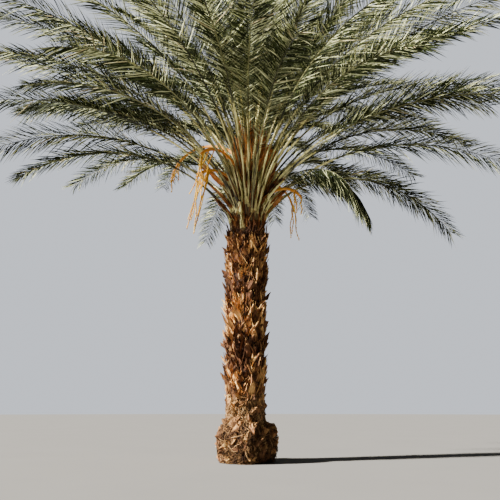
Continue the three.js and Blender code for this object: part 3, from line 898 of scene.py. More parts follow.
def fibre_materials(colors):
    rust, tan, dark = colors.bark, colors.bark_light, colors.bark_dark_and_gap_shade
    return [
        fibre_finish("fibre_dark", dark, mixed(dark, rust, 0.7)),
        fibre_finish("fibre_rust", mixed(dark, rust, 0.7), mixed(rust, tan, 0.4)),
        fibre_finish("fibre_tan", mixed(rust, tan, 0.8), mixed(tan, colors.cut, 0.6)),
    ]


ROOT_TAN = (0.86, 0.6, 0.32)


def root_materials(colors):
    worn, dark = colors.bark_worn, colors.bark_dark_and_gap_shade
    return [
        fibre_finish("root_dark", shaded(dark, 0.7), mixed(dark, worn, 0.25)),
        fibre_finish("root_brown", mixed(dark, worn, 0.15), mixed(dark, worn, 0.45)),
        fibre_finish("root_tan", mixed(dark, worn, 0.5), mixed(worn, ROOT_TAN, 0.4)),
    ]


def sheath_materials(colors):
    sheath, dark = colors.sheath, colors.bark_dark_and_gap_shade
    return [
        fibre_finish("sheath_dark", dark, mixed(dark, sheath, 0.6)),
        fibre_finish("sheath_orange", mixed(dark, sheath, 0.7), sheath),
        fibre_finish("sheath_tan", sheath, mixed(sheath, colors.bark_light, 0.35)),
        fibre_finish("sheath_bright", colors.sheath_young, colors.sheath_bright),
    ]


def stalk_materials(colors):
    orange, yellow = colors.fruit_stalk, colors.fruit_strand
    bright = mixed(yellow, colors.stalk_pale, 0.4)
    return [
        rib_finish("fruit_stalk_skin", orange, mixed(orange, yellow, 0.4), shaded(orange, 0.55)),
        fibre_finish("fruit_strand_orange", mixed(orange, yellow, 0.35), yellow),
        fibre_finish("fruit_strand_yellow", mixed(orange, yellow, 0.8), bright),
    ]


# Leaflets: steps from a frond's own green, planes that they stand in, and the noise of their ways
DRY_TONE = 5
LEAFLET_TONES = [-3, -3, -2, -2, -1, -1, 0, 0, 2, 4, 4]
LEAFLET_PLANES = np.radians([4.0, 28.0, -14.0, 18.0, 40.0, -4.0])
LEAFLET_SHAPE = np.array([0.5, 1.0, 0.86, 0.05])
ANGLE_NOISE = 5.0
PLANE_NOISE = 7.0
BANK = math.radians(10.0)
BANK_NOISE = 20.0
TWIST_NOISE = 48.0
LENGTH_RANGE = (0.86, 1.06)
DROOP_RANGE = (0.03, 0.24)
LIMP_WIDTH = 0.8


def side_ways(frame_there, hand, angle, rise):
    """Ways that leave a rib to either hand, at an angle to it and rising out of its plane."""
    _, forth, aside, above = frame_there
    turned = aside * (hand * np.cos(rise))[:, None] + above * np.sin(rise)[:, None]
    return forth * np.cos(angle)[:, None] + turned * np.sin(angle)[:, None]


def leaflets_of(frond, sizes, random):
    """Paths, half widths, normals and tones of one frond's leaflets, in several planes."""
    pairs = frond.pairs
    count = 2 * pairs
    t = lerp(PETIOLE_SHARE, LEAFLETS_END, (np.tile(np.arange(pairs), 2) + 0.5) / pairs)
    t = t + random.uniform(-0.4, 0.4, count) * 0.7 / pairs
    hand = np.repeat([-1.0, 1.0], pairs)
    out = np.clip((t - PETIOLE_SHARE) / (1 - PETIOLE_SHARE), 0.0, 1.0)
    there = frond.frame_at(t)
    origin, forth, aside, above = there
    angle = lerp(sizes.leaflet_angle, sizes.leaflet_angle_tip, out**0.8)
    angle = angle + np.radians(random.normal(0.0, ANGLE_NOISE, count))
    rise = LEAFLET_PLANES[(np.arange(count) * 5 + (hand > 0) * 2) % len(LEAFLET_PLANES)]
    rise = rise * lerp(1.0, 0.6, out) + np.radians(random.normal(0.0, PLANE_NOISE, count))
    way = unit(side_ways(there, hand, angle, rise) - UP * frond.limp)
    length = lerp(sizes.leaflet_short, sizes.leaflet_long, smoothstep(out, 0.0, 0.38))
    length = length * (1 - 0.46 * smoothstep(out, 0.6, 1.06)) * frond.scale
    length = length * random.uniform(*LENGTH_RANGE, count)
    s = np.linspace(0.0, 1.0, len(LEAFLET_SHAPE))
    droop = random.uniform(*DROOP_RANGE, count) * length
    start = origin + aside * (hand * frond.half_width(t) * 0.7)[:, None]
    start = start + above * (frond.half_width(t) * 0.2)[:, None]
    paths = straight(start, way, length, s)
    paths[..., 2] -= droop[:, None] * s**2.2
    paths += forth[:, None] * (0.1 * length[:, None] * s**2)[..., None]
    widths = LEAFLET_SHAPE * sizes.leaflet_half
    widths = widths * (0.62 + 0.38 * length[:, None] / sizes.leaflet_long)
    widths = widths * (LIMP_WIDTH if frond.limp else 1.0)
    facing = across(above, way)
    bank = np.radians(random.normal(0.0, BANK_NOISE, count)) + hand * BANK
    twist = np.radians(random.normal(0.0, TWIST_NOISE, count))
    bank = (bank[:, None] + twist[:, None] * s)[..., None]
    crosswise = np.cross(way, facing)
    normals = facing[:, None] * np.cos(bank) + crosswise[:, None] * np.sin(bank)
    # Random tone steps deal each leaflet painted shade or a painted highlight, no paler than its
    # frond's palest
    green = np.clip(frond.tone + random.choice(LEAFLET_TONES, count), 0, frond.palest)
    tones = np.where(random.random(count) < frond.dry, DRY_TONE, green)
    kept = random.random(count) < smoothstep(out, -0.06, 0.2)
    return paths[kept], widths[kept], normals[kept], tones[kept]


def grow_leaflets(name, fronds, sizes, colors):
    random = random_of(name)
    rows = [leaflets_of(frond, sizes, random) for frond in fronds]
    return swept(name, rows, leaf_materials(colors), FOLD_SECTION)


# Rib materials in the place of the pale ones on a stalk that is olive
OLIVE_TONES = np.array([0, 6, 6, 7, 4, 5])
RIB_STEPS = 60


def grow_ribs(name, fronds, colors):
    """Stalk and rib of every frond, from a broad clasping foot to a thread."""
    rows = []
    for frond in fronds:
        t, points, _, _, up = frond.walk(RIB_STEPS)
        flare = 1.0 + frond.flare * (1 - smoothstep(t, 0.0, 0.075))
        pale_end = lerp(0.34, 0.5, frond.youth)
        tone = np.digitize(t, [0.035, 0.09, 0.2, pale_end, 0.72])
        tone = OLIVE_TONES[tone] if frond.olive else tone
        rows.append((points, frond.half_width(t) * flare, up, tone))
    return swept(name, rows, rib_materials(colors), RIB_SECTION, smooth=False)


SPINE_PAIRS = 7
SPINES_START = 0.14
SPINE_LENGTHS = (0.03, 0.12)
SPINE_SHAPE = [0.0045, 0.0036, 0.0004]


def grow_spines(name, fronds, colors):
    """Stiff spines that stand in pairs on the bare part of every leaf stalk."""
    random = random_of(name)
    s = np.array([0.0, 0.45, 1.0])
    count = 2 * SPINE_PAIRS
    hand = np.repeat([-1.0, 1.0], SPINE_PAIRS)
    rows = []
    for frond in fronds:
        t = np.tile(np.linspace(SPINES_START, PETIOLE_SHARE + 0.015, SPINE_PAIRS), 2)
        t = t + random.uniform(-0.005, 0.005, count)
        there = frond.frame_at(t)
        origin, _, aside, above = there
        rise = np.radians(random.uniform(10, 60, count))
        angle = np.radians(random.uniform(36, 58, count))
        way = unit(side_ways(there, hand, angle, rise))
        out = np.clip((t - SPINES_START) / (PETIOLE_SHARE - 0.13), 0, 1)
        length = lerp(*SPINE_LENGTHS, out) * random.uniform(0.8, 1.15, count)
        start = origin + aside * (hand * frond.half_width(t) * 0.75)[:, None]
        paths = straight(start, way, length, s)
        widths = np.repeat([SPINE_SHAPE], count, axis=0)
        tones = np.where(random.random(count) < 0.5, 3, 4)
        rows.append((paths, widths, held(across(above, way), s), tones))
    return swept(name, rows, rib_materials(colors), THIN_SECTION, smooth=False)


STUMPS = 16
STUMP_TURN = 60.0
STUMP_STEPS = 10
STUMP_HALVES = (0.05, 0.034)


def grow_stumps(name, colors):
    """Cut stalks between the living ones at the neck, broad at the foot and square at the top."""
    random = random_of(name)
    rows = []
    for i in range(STUMPS):
        place = i / (STUMPS - 1)
        stump = Frond(
            azimuth=FIRST_AZIMUTH + STUMP_TURN + GOLDEN_ANGLE * i,
            attach=lerp(CORE_FOOT + 0.02, CORE_FOOT + 0.95, place),
            length=random.uniform(0.3, 0.62),
            start=random.uniform(74, 82),
            end=random.uniform(66, 80),
            roll=random.uniform(-20, 20),
        )
        t, points, _, _, up = stump.walk(STUMP_STEPS)
        width = lerp(*STUMP_HALVES, place) * lerp(1.5, 0.72, smoothstep(t, 0.0, 0.6))
        rows.append((points, width, up, np.digitize(t, [0.16, 0.4, 0.7])))
    return swept(name, rows, rib_materials(colors), RIB_SECTION)


SPEARS = 3
SPEAR_LENGTH = 3.2
SPEAR_RADIUS = 0.022
SPEAR_CIRCLE = 0.02
SPEAR_SPREAD = math.radians(1.6)
SPEAR_STEPS = 24
PLEATS = 11


def grow_spears(name, colors):
    """Unopened leaves at the heart: pleated spears that stand nearly upright."""
    random = random_of(name)
    s = np.linspace(0.0, 1.0, SPEAR_STEPS + 1)
    width = SPEAR_RADIUS * np.interp(s, [0, 0.12, 0.7, 1], [0.8, 1.0, 0.62, 0.05])
    foot = np.array([axis_x(CORE_TOP), 0.0, CORE_TOP + BUD_HEIGHT / 2])
    rows = []
    for i in range(SPEARS):
        out = level_way((i + 0.4) * FULL_TURN / SPEARS)
        axis = out * math.sin(SPEAR_SPREAD) + UP * math.cos(SPEAR_SPREAD)
        length = SPEAR_LENGTH * (1 - 0.09 * i)
        middle = foot + out * SPEAR_CIRCLE + axis * (length * s)[:, None]
        for k in range(PLEATS):
            outward = level_way(FULL_TURN * k / PLEATS)
            path = middle + outward * (width * 0.55)[:, None]
            normal = np.repeat([outward], len(s), axis=0)
            rows.append((path, width * 0.42, normal, int(random.choice([2, 3, 3, 4]))))
    return swept(name, rows, leaf_materials(colors), RIB_SECTION)


# Fruit stalks, as in the source: azimuth, attach, length, start, end, length of the strands
FRUIT_STALKS = [
    (168.0, 4.96, 2.36, 88.0, -88.0, 0.42),
    (214.0, 4.476, 1.35, 84.0, -56.0, 1.15),
    (231.5, 4.703, 1.59, 74.0, -51.0, 0.9),
    (333.0, 4.317, 1.15, 74.0, -63.0, 0.42),
    (45.0, 4.574, 1.55, 79.0, -70.0, 0.7),
]
STALK_BEND = 1.1
STALK_HALF_LOW = 0.017
STALK_HALF_TIP = 0.01
STALK_WIDENING = 2.1
STALK_STEPS = 48
STALK_SWELL = 0.25
STRAND_WALK = 60
STRAND_SPREAD = math.radians(22)
STRAND_HALF_LOW = 0.0145
STRAND_HALF_TIP = 0.01
STRAND_PLACES = np.linspace(0.0, 1.0, 9)
STRAND_SWAY = 0.026
BEADS_EACH = 26
BEAD_SIZES = (0.008, 0.015)
BEAD_POINTS = [(1, 0, 0), (0, 1, 0), (-1, 0, 0), (0, -1, 0), (0, 0, 1.5), (0, 0, -1.5)]
BEAD_FACES = [(0, 1, 4), (1, 2, 4), (2, 3, 4), (3, 0, 4), (1, 0, 5), (2, 1, 5), (3, 2, 5), (0, 3, 5)]


def stalk_frond(azimuth, attach, length, start, end):
    """A fruit stalk's path, which follows the fronds' rule."""
    return Frond(azimuth=azimuth, attach=attach, length=length, start=start, end=end, bend=STALK_BEND)


def grow_fruit_stalks(name, colors):
    """Flat orange stalks that arch out of the heart and swell where their strands begin."""
    rows = []
    for *stalk, _ in FRUIT_STALKS:
        t, points, _, _, up = stalk_frond(*stalk).walk(STALK_STEPS)
        swell = 1 + STALK_SWELL * np.exp(-(((t - 0.82) / 0.12) ** 2))
        width = lerp(STALK_HALF_LOW, STALK_HALF_TIP, t) * STALK_WIDENING * swell
        rows.append((points, width, up, 0))
    return swept(name, rows, stalk_materials(colors), STRAP_SECTION)


def strand_rows(sizes):
    """Thin waving strands from the outer third of every fruit stalk."""
    random = random_of("fruit_strands")
    s = STRAND_PLACES
    rows = []
    for *stalk, hang in FRUIT_STALKS:
        count = max(3, round(sizes.strands * hang))
        place = 1.0 - 0.27 * random.random(count) ** 1.3
        origin, forth, aside, _ = stalk_frond(*stalk).frame_at(place, STRAND_WALK)
        fan = STRAND_SPREAD * random.uniform(-0.6, 0.6, count)
        sink = random.uniform(0.66, 0.94, count)[:, None]
        way = unit(forth * (1 - sink) - UP * sink)
        way = unit(way * np.cos(fan)[:, None] + aside * np.sin(fan)[:, None])
        length = hang * random.uniform(0.66, 1.0, count)
        paths = straight(origin, way, length, s)
        wave = random.uniform(0.0, 6.3, (count, 1)) + s * random.uniform(6.0, 11.0, (count, 1))
        sway = (np.sin(wave) - np.sin(wave[:, :1])) * STRAND_SWAY * np.minimum(1.0, 3 * s)
        paths += aside[:, None] * sway[..., None]
        paths[..., 2] -= 0.05 * length[:, None] * s**2
        widths = np.repeat([lerp(STRAND_HALF_LOW, STRAND_HALF_TIP, s)], count, axis=0)
        rows.append((paths, widths, held(aside, s), random.integers(1, 3, count)))
    return rows


def grow_beads(name, strands, colors):
    """Small yellow beads along the fruit strands."""
    random = random_of(name)
    s = np.linspace(0.12, 1.0, BEADS_EACH)
    place = np.concatenate([read_at(s, STRAND_PLACES, path) for row in strands for path in row[0]])
    count = len(place)
    place += random.normal(0.0, 0.004, (count, 3))
    values = dict(
        grow=unit(random.normal(0.0, 1.0, (count, 3)) + UP * 1.2),
        face=np.repeat([[0.0, 1.0, 0.0]], count, axis=0),
        size=np.repeat(random.uniform(*BEAD_SIZES, count)[:, None], 3, axis=1),
        pick=np.zeros(count, dtype=int),
        tone=random.integers(1, 3, count),
    )
    bead = mesh_of("bead", BEAD_POINTS, BEAD_FACES)
    return scattered(name, [bead], stalk_materials(colors), place, **values)


FLAP_COLUMNS = 5
FLAP_ROWS = 6
SKIN, CUT = 0, 1

# Leaf-base shapes by their place in the collection
SHEATHS = range(0, 6)
WEDGES = range(6, 12)
SHARDS = range(12, 18)
WORN = range(18, 22)

# Each kind's values, or the ranges they are drawn from: length and half width as shares of the
# trunk's sizes, thickness, curl, tip, notch, torn edge, thinning, and where a cut face begins
FLAP_KINDS = [
    (SHEATHS, (0.48, 0.8), (0.6, 0.95), 0.034, (0.02, 0.1), (0.2, 0.7), (0.0, 0.25), 0.22, 0.7, 1.0),
    (WEDGES, (0.46, 0.7), (0.55, 0.8), (0.06, 0.085), (0.0, 0.03), (0.3, 0.8), 0.0, 0.1, 0.2, 0.78),
    (SHARDS, (0.5, 0.9), (0.16, 0.36), 0.022, (0.0, 0.12), (0.7, 1.0), 0.0, 0.12, 0.8, 1.0),
    (WORN, (0.28, 0.46), (0.5, 0.95), (0.05, 0.11), 0.0, (0.0, 0.6), 0.1, 0.24, 0.3, 1.0),
]


def flap_mesh(name, random, length, half, thick, curl, tip, notch, torn, thin, cut_from):
    """A leaf base as a closed shell: thick in the middle, thin at its edges, torn or cut on top."""
    u = np.linspace(-1.0, 1.0, FLAP_COLUMNS)
    v = np.linspace(0.0, 1.0, FLAP_ROWS)
    lean = random.uniform(-0.45, 0.45)
    jagged = random.uniform(-1.0, 1.0, FLAP_COLUMNS) * torn
    top = 1.0 - tip * np.abs(u - lean) ** 1.1 * 0.62 - notch * (1 - np.abs(u)) + jagged
    grid_u, grid_v = np.meshgrid(u, v, indexing="ij")
    width = half * (1.0 - (0.22 + 0.34 * tip) * grid_v**1.5)
    x = grid_u * width + length * 0.12 * random.uniform(-1, 1) * grid_v**2
    z = length * grid_v * top[:, None]
    crown = thick * (1.0 - 0.84 * np.abs(grid_u) ** 1.6) * (0.5 + 0.5 * smoothstep(grid_v, 0.0, 0.4))
    crown = crown * (1.0 - thin * grid_v**2)
    is_cut = cut_from < 1.0
    if is_cut:
        crown = crown * (1 - 0.86 * np.clip((grid_v - cut_from) / (1 - cut_from), 0.0, 1.0))
    bend = curl * grid_v**2
    ripple = random.uniform(-1, 1, grid_u.shape) * thick * 0.14 * (grid_v > 0)
    inner = bend - thick * 0.2 * (1 - 0.5 * grid_v)
    points = np.vstack([np.stack([x, y, z], -1).reshape(-1, 3) for y in (bend + crown + ripple, inner)])
    size = FLAP_COLUMNS * FLAP_ROWS

    def index(i, j):
        return i * FLAP_ROWS + j

    faces, parts = [], []
    for i in range(FLAP_COLUMNS - 1):
        for j in range(FLAP_ROWS - 1):
            quad = [index(i, j), index(i, j + 1), index(i + 1, j + 1), index(i + 1, j)]
            faces += [quad, [q + size for q in reversed(quad)]]
            parts += [CUT if is_cut and v[j] >= cut_from - 0.01 else SKIN, SKIN]
    last_column, last_row = FLAP_COLUMNS - 1, FLAP_ROWS - 1
    rim = [index(i, 0) for i in range(FLAP_COLUMNS)]
    rim += [index(last_column, j) for j in range(1, FLAP_ROWS)]
    rim += [index(i, last_row) for i in reversed(range(last_column))]
    rim += [index(0, j) for j in reversed(range(1, last_row))]
    for a, b in zip(rim, rim[1:] + rim[:1]):
        faces.append([a, b, b + size, a + size])
        parts.append(CUT if a % FLAP_ROWS == b % FLAP_ROWS == last_row else SKIN)
    mesh = mesh_of(name, points, faces)
    layer = mesh.attributes.new("part", "INT", "FACE")
    layer.data.foreach_set("value", parts)
    shell = bmesh.new()
    shell.from_mesh(mesh)
    bmesh.ops.recalc_face_normals(shell, faces=shell.faces)
    shell.to_mesh(mesh)
    shell.free()
    return mesh


def flap_shapes(sizes):
    """Broad torn sheaths, cut wedges, narrow shards and the short worn bases of the foot."""
    random = random_of("flaps")
    rows = []
    for places, *values in FLAP_KINDS:
        for _ in places:
            drawn = [random.uniform(*v) if isinstance(v, tuple) else v for v in values]
            length, half, *rest = drawn
            rows.append((sizes.stub_length * length, sizes.stub_half_width * half, *rest))
    return [flap_mesh(f"flap_{i:02d}", random, *row) for i, row in enumerate(rows)]


# Belts of painted cast shadow across the trunk: height of the middle, half height
SHADOW_BANDS = [(3.95, 0.22), (2.75, 0.22), (1.7, 0.34)]
SHADOW_SHARE = 0.94


def in_shadow_band(z, random):
    share = sum(np.exp(-(((z - middle) / half) ** 2)) for middle, half in SHADOW_BANDS)
    return random.random(len(z)) < share * SHADOW_SHARE


def foot_tones(z, azimuth, random, tones):
    """Tones of the swollen foot, with the darkest one laid in wavy patches as painted shade of hollows.
    """
    wave = np.sin(5.0 * azimuth + 4.0 * np.sin(7.0 * z))
    patch = wave * np.cos(13.0 * z + 2.0 * np.sin(3.0 * azimuth))
    is_painted_hollow_shade = patch < random.normal(0.05, 0.2, len(z))
    return np.where(is_painted_hollow_shade, 0, random.choice(tones, len(z)))


STUB_INSET = 0.045
STUBS_LOW = 0.03
STUBS_HIGH = CORE_FOOT - 0.1

# Heights between which worn leaf bases give way to torn and cut ones, and their share low down
WORN_HEIGHTS = (0.55, 1.3)
WORN_SHARE = 0.85


def grow_leaf_stubs(name, sizes, colors):
    """Torn and cut leaf bases on the stem's lattice, with torn flaps beside each."""
    random = random_of(name)
    rows = []
    for row in range(STUB_ROWS):
        for column in range(STUBS_AROUND):
            z = row * ROW_PITCH + random.uniform(-0.06, 0.02)
            azimuth = (column + row / 2) * STUB_STEP + STUB_TWIST * row
            azimuth = azimuth + STUB_STEP / 2 + random.normal(0.0, 0.06)
            rows.append((z, azimuth, 0))
            for _ in range(sizes.flaps_between):
                z_between = (row + random.uniform(-0.5, 0.5)) * ROW_PITCH
                rows.append((z_between, azimuth + STUB_STEP * random.uniform(-0.6, 0.6), 1))
    z, azimuth, is_flap = np.array(rows).T
    is_flap = is_flap > 0
    z = np.clip(z, STUBS_LOW, STUBS_HIGH)
    count = len(rows)
    low = 1 - smoothstep(z, *WORN_HEIGHTS)
    flaps = random.choice([*SHARDS, *SHARDS, *SHEATHS], count)
    pick = np.where(is_flap, flaps, random.choice([*SHEATHS, *WEDGES, *WEDGES], count))
    pick = np.where(random.random(count) < low * WORN_SHARE, random.choice(WORN, count), pick)
    place, out, round_way = surface_point(z, azimuth, STUB_INSET)
    slope = (stem_radius(z + 0.05) - stem_radius(z - 0.05)) / 0.1
    lean = lerp(random.uniform(0.04, 0.36, count), random.uniform(-0.1, 0.22, count), low) + slope
    lean = np.where(is_flap & (random.random(count) < 0.1), lean + 0.3, lean)
    tilt = random.normal(0.0, lerp(0.4, 0.75, low), count)
    grow = unit(UP + out * lean[:, None] + round_way * tilt[:, None])
    face = unit(out + round_way * random.normal(0.0, 0.25, count)[:, None])
    scale = random.uniform(0.7, 1.2, count)
    narrow = np.where(is_flap, random.uniform(0.7, 1.0, count), 1.0)
    tall = lerp(1.0, 0.62, smoothstep(z, CORE_FOOT - 0.45, STUBS_HIGH))
    rough = lerp(1.0, random.uniform(0.6, 1.5, count), low)
    size = np.stack([scale * narrow * rough, scale * rough, scale * tall], -1)
    upper = random.choice([0, 0, 1, 1, 1, 2, 2, 2], count)
    # At the foot the darkest tone falls in its patches of painted hollow shade
    foot = foot_tones(z, azimuth, random, [0, 1, 1, 1, 2])
    tone = np.where(random.random(count) < collar_at(z), foot, upper)
    # Leaf bases in the belts of painted shadow take the darkest brown
    tone = np.where(in_shadow_band(z, random), 0, tone) * 2
    values = dict(grow=grow, face=face, size=size, pick=pick, tone=tone)
    return rest_on_ground(scattered(name, flap_shapes(sizes), stub_materials(colors), place, **values))


BARK_AROUND = 72
BARK_RINGS = 150
FOOT_RINGS = 44
BARK_INSET = 0.016
BARK_LEVEL = 1
CORE_CAP = 0.06


def grow_bark(name, sizes, colors):
    """The stem under its leaf bases, its swollen foot and the bud core, with a rough relief."""
    foot = np.linspace(0.0, 1.0, FOOT_RINGS)
    heights = np.concatenate([foot, np.linspace(1.0, CORE_TOP, BARK_RINGS - FOOT_RINGS + 1)[1:]])
    angle = np.linspace(0.0, FULL_TURN, BARK_AROUND, endpoint=False)
    z, azimuth = np.meshgrid(heights, angle, indexing="ij")
    place, _, _ = surface_point(z.ravel(), azimuth.ravel(), BARK_INSET)
    points = np.vstack([place, [axis_x(0.0), 0.0, 0.0], [axis_x(CORE_TOP), 0.0, CORE_TOP + CORE_CAP]])
    last, base = (BARK_RINGS - 1) * BARK_AROUND, BARK_RINGS * BARK_AROUND
    sides = [(i, (i + 1) % BARK_AROUND) for i in range(BARK_AROUND)]
    faces = []
    for low in range(0, last, BARK_AROUND):
        high = low + BARK_AROUND
        faces += [(low + i, low + j, high + j, high + i) for i, j in sides]
    for i, j in sides:
        faces += [(base, j, i), (last + i, last + j, base + 1)]
    tree = relief_tree(f"{name}_grow", bark_materials(colors))
    values = dict(Level=BARK_LEVEL, Lumps=sizes.bark_lumps, Fibre=sizes.bark_fibre)
    return rest_on_ground(grown(name, mesh_of(name, points, faces), tree, **values))


# Half widths of a strip of fibre along its length, and the half width of a single hair
STRIP_SHAPE = np.array([0.8, 1.0, 0.85, 0.6, 0.12])
SHEATH_SHAPE = np.array([1.0, 1.0, 0.9, 0.62, 0.1])
STRIP_PLACES = np.linspace(0.0, 1.0, 5)
HAIR_HALF = 0.0022
SHEATH_HAIR_HALF = 0.0024
FIBRE_HEIGHTS = (0.95, CORE_FOOT + 0.3)
SHEATH_HEIGHTS = (CORE_FOOT + 0.08, CORE_TOP + 0.5)


def leaning(random, out, round_way, slant, lean):
    """Upward ways that slant round the stem at random and lean out from it."""
    slants = random.normal(0.0, slant, len(out))
    leans = random.uniform(*lean, len(out))
    return unit(UP + round_way * slants[:, None] + out * leans[:, None])


def turned_out(random, out, round_way, way, noise):
    """Normals that face outward, a little turned, and square to their ways."""
    return across(unit(out + round_way * random.normal(0.0, noise, len(out))[:, None]), way)


def grow_fibre(name, sizes, colors):
    """Torn fibre that hangs and stands between the leaf bases, wider strips and single hairs."""
    random = random_of(name)
    count = sizes.fibres
    s = STRIP_PLACES
    z = random.uniform(*FIBRE_HEIGHTS, count)
    azimuth = random.uniform(0.0, FULL_TURN, count)
    place, out, round_way = surface_point(z, azimuth, -0.012)
    way = leaning(random, out, round_way, 0.45, (0.02, 0.36))
    length = random.uniform(0.1, 0.34, count) * np.where(random.random(count) < 0.1, 1.3, 1.0)
    curl = random.normal(0.0, 0.14, count) * length
    paths = straight(place, way, length, s)
    paths += round_way[:, None] * (curl[:, None] * s**2)[..., None]
    is_strip = random.random(count) < 0.5
    half = np.where(is_strip, random.uniform(0.006, 0.016, count), HAIR_HALF)
    normals = held(turned_out(random, out, round_way, way, 0.5), s)
    # Fibres in the belts of painted shadow take the darkest brown
    tones = np.where(in_shadow_band(z, random), 0, random.choice([0, 0, 1, 1, 2], count))
    rows = [(paths, half[:, None] * STRIP_SHAPE, normals, tones)]
    return swept(name, rows, fibre_materials(colors), FLAT_SECTION)


ROOTLETS_TOP = 1.05
ROOTLET_POINTS = 7


def grow_roots(name, sizes, colors):
    """Matted rootlets on the swollen foot, in loops that end at the ground."""
    random = random_of(name)
    count = sizes.rootlets
    z = random.uniform(0.0, 1.0, count) ** 1.15 * ROOTLETS_TOP
    azimuth = random.uniform(0.0, FULL_TURN, count)
    s = np.linspace(0.0, 1.0, ROOTLET_POINTS)
    length = random.uniform(0.1, 0.3, count)
    slant = random.normal(0.0, 0.8, count)
    fall = -np.cos(slant) * random.choice([1.0, 1.0, -0.4], count)
    z_path = np.clip(z[:, None] + (fall * length)[:, None] * s, 0.008, ROOTLETS_TOP + 0.1)
    bulge = 0.012 + random.uniform(0.0, 0.05, count)[:, None] * np.sin(math.pi * s)
    wander = np.sin(s * random.uniform(3, 9, (count, 1)) + random.uniform(0, 6, (count, 1)))
    turn = (np.sin(slant) * length)[:, None] * s / COLLAR_RADIUS + wander * 0.03
    paths, out, _ = surface_point(z_path, azimuth[:, None] + turn, -bulge)
    widths = random.uniform(0.0035, 0.009, count)[:, None] * (1 - 0.55 * s)
    above = random.choice([0, 1, 2, 2], count)
    # Rootlets at the foot take the darkest tone in its patches of painted hollow shade
    foot = foot_tones(z, azimuth, random, [0, 1, 1, 2])
    rows = [(paths, widths, out, np.where(z < COLLAR_TOP - 0.1, foot, above))]
    return rest_on_ground(swept(name, rows, root_materials(colors), THIN_SECTION))


# Sheath: fibres on the core, strips on each stalk, and the youth from which bright ones grow too
SHEATH_FIBRES = 3400
STRIPS_EACH = 7
BRIGHT_STRIPS_EACH = 8
HEART_YOUTH = 0.5
SHEATH_TONES = [[0, 1, 1, 2], [0, 0, 0, 1, 2], [2, 3, 3, 3]]


def stalk_strips(fronds, random, count, lowest, highest):
    """Strips of torn sheath that cling to the edges of leaf stalks, between two places on them."""
    s = STRIP_PLACES
    rows = []
    for frond in fronds:
        first = random.uniform(lowest, highest + 0.07 * frond.youth, count)
        place = first[:, None] + random.uniform(0.03, 0.08, count)[:, None] * s
        path, forth, aside, above = frond.frame_at(place)
        hand = random.choice([-1.0, 1.0], count) * random.uniform(0.5, 1.25, count)
        path += aside * (frond.half_width(place) * hand[:, None])[..., None]
        path += above * (random.uniform(-0.03, 0.03, count)[:, None] * s)[..., None]
        turn = random.uniform(-0.9, 0.9, count)[:, None, None]
        normal = across(above * np.cos(turn) + aside * np.sin(turn), forth)
        rows.append((path, random.uniform(0.01, 0.04, count), normal))
    return [np.concatenate(row) for row in zip(*rows)]


def grow_sheath(name, fronds, colors):
    """Fibre sheets and hairs between the feet of the fronds, and the strips on their stalks."""
    random = random_of(name)
    count = SHEATH_FIBRES
    z = random.uniform(*SHEATH_HEIGHTS, count)
    azimuth = random.uniform(0.0, FULL_TURN, count)
    place, out, round_way = surface_point(np.minimum(z, CORE_TOP), azimuth, 0.01)
    place[:, 2] = z
    way = leaning(random, out, round_way, 0.3, (0.1, 0.55))
    length = random.uniform(0.1, 0.3, count)
    length = length * lerp(0.5, 1.0, smoothstep(z, CORE_FOOT, CORE_FOOT + 0.5))
    paths = straight(place, way, length, STRIP_PLACES)
    is_sheet = random.random(count) < 0.45
    half = np.where(is_sheet, random.uniform(0.012, 0.034, count), SHEATH_HAIR_HALF)
    normals = held(turned_out(random, out, round_way, way, 0.4), STRIP_PLACES)
    heart = [frond for frond in fronds if frond.youth > HEART_YOUTH]
    groups = [
        (paths, half, normals),
        stalk_strips(fronds, random, STRIPS_EACH, 0.005, 0.1),
        stalk_strips(heart, random, BRIGHT_STRIPS_EACH, 0.1, 0.16),
    ]
    rows = []
    for (paths, half, normals), tones in zip(groups, SHEATH_TONES):
        rows.append((paths, half[:, None] * SHEATH_SHAPE, normals, random.choice(tones, len(paths))))
    return swept(name, rows, sheath_materials(colors), FLAT_SECTION)


def length_property(name, description, default):
    return FloatProperty(name=name, description=description, default=default, unit="LENGTH")


def angle_property(name, description, degrees):
    default = math.radians(degrees)
    return FloatProperty(name=name, description=description, default=default, subtype="ANGLE")


def light_property(name, description, default):
    return FloatProperty(name=name, description=description, default=default, min=0.0)


def count_property(name, description, default, least=0):
    return IntProperty(name=name, description=description, default=default, min=least)


def color_property(name, description, default):
    limits = dict(size=3, min=0.0, max=1.0, subtype="COLOR")
    return FloatVectorProperty(name=name, description=description, default=default, **limits)


class PalmTrunkSizes(bpy.types.PropertyGroup):
    """Sizes of the trunk's cover."""

    stub_length: length_property("Leaf base length", "Length of a leaf base", 0.38)
    stub_half_width: length_property("Leaf base half width", "Half width at its foot", 0.078)
    flaps_between: count_property("Flaps between", "Torn flaps beside each leaf base", 2)
    bark_lumps: length_property("Bark lumps", "Height of the lumps under the leaf bases", 0.034)
    bark_fibre: length_property("Bark fibre", "Height of the upright fibre relief", 0.02)
    fibres: count_property("Fibres", "Strips and hairs on the trunk", 2200)
    rootlets: count_property("Rootlets", "Rootlets on the swollen foot", 2600)


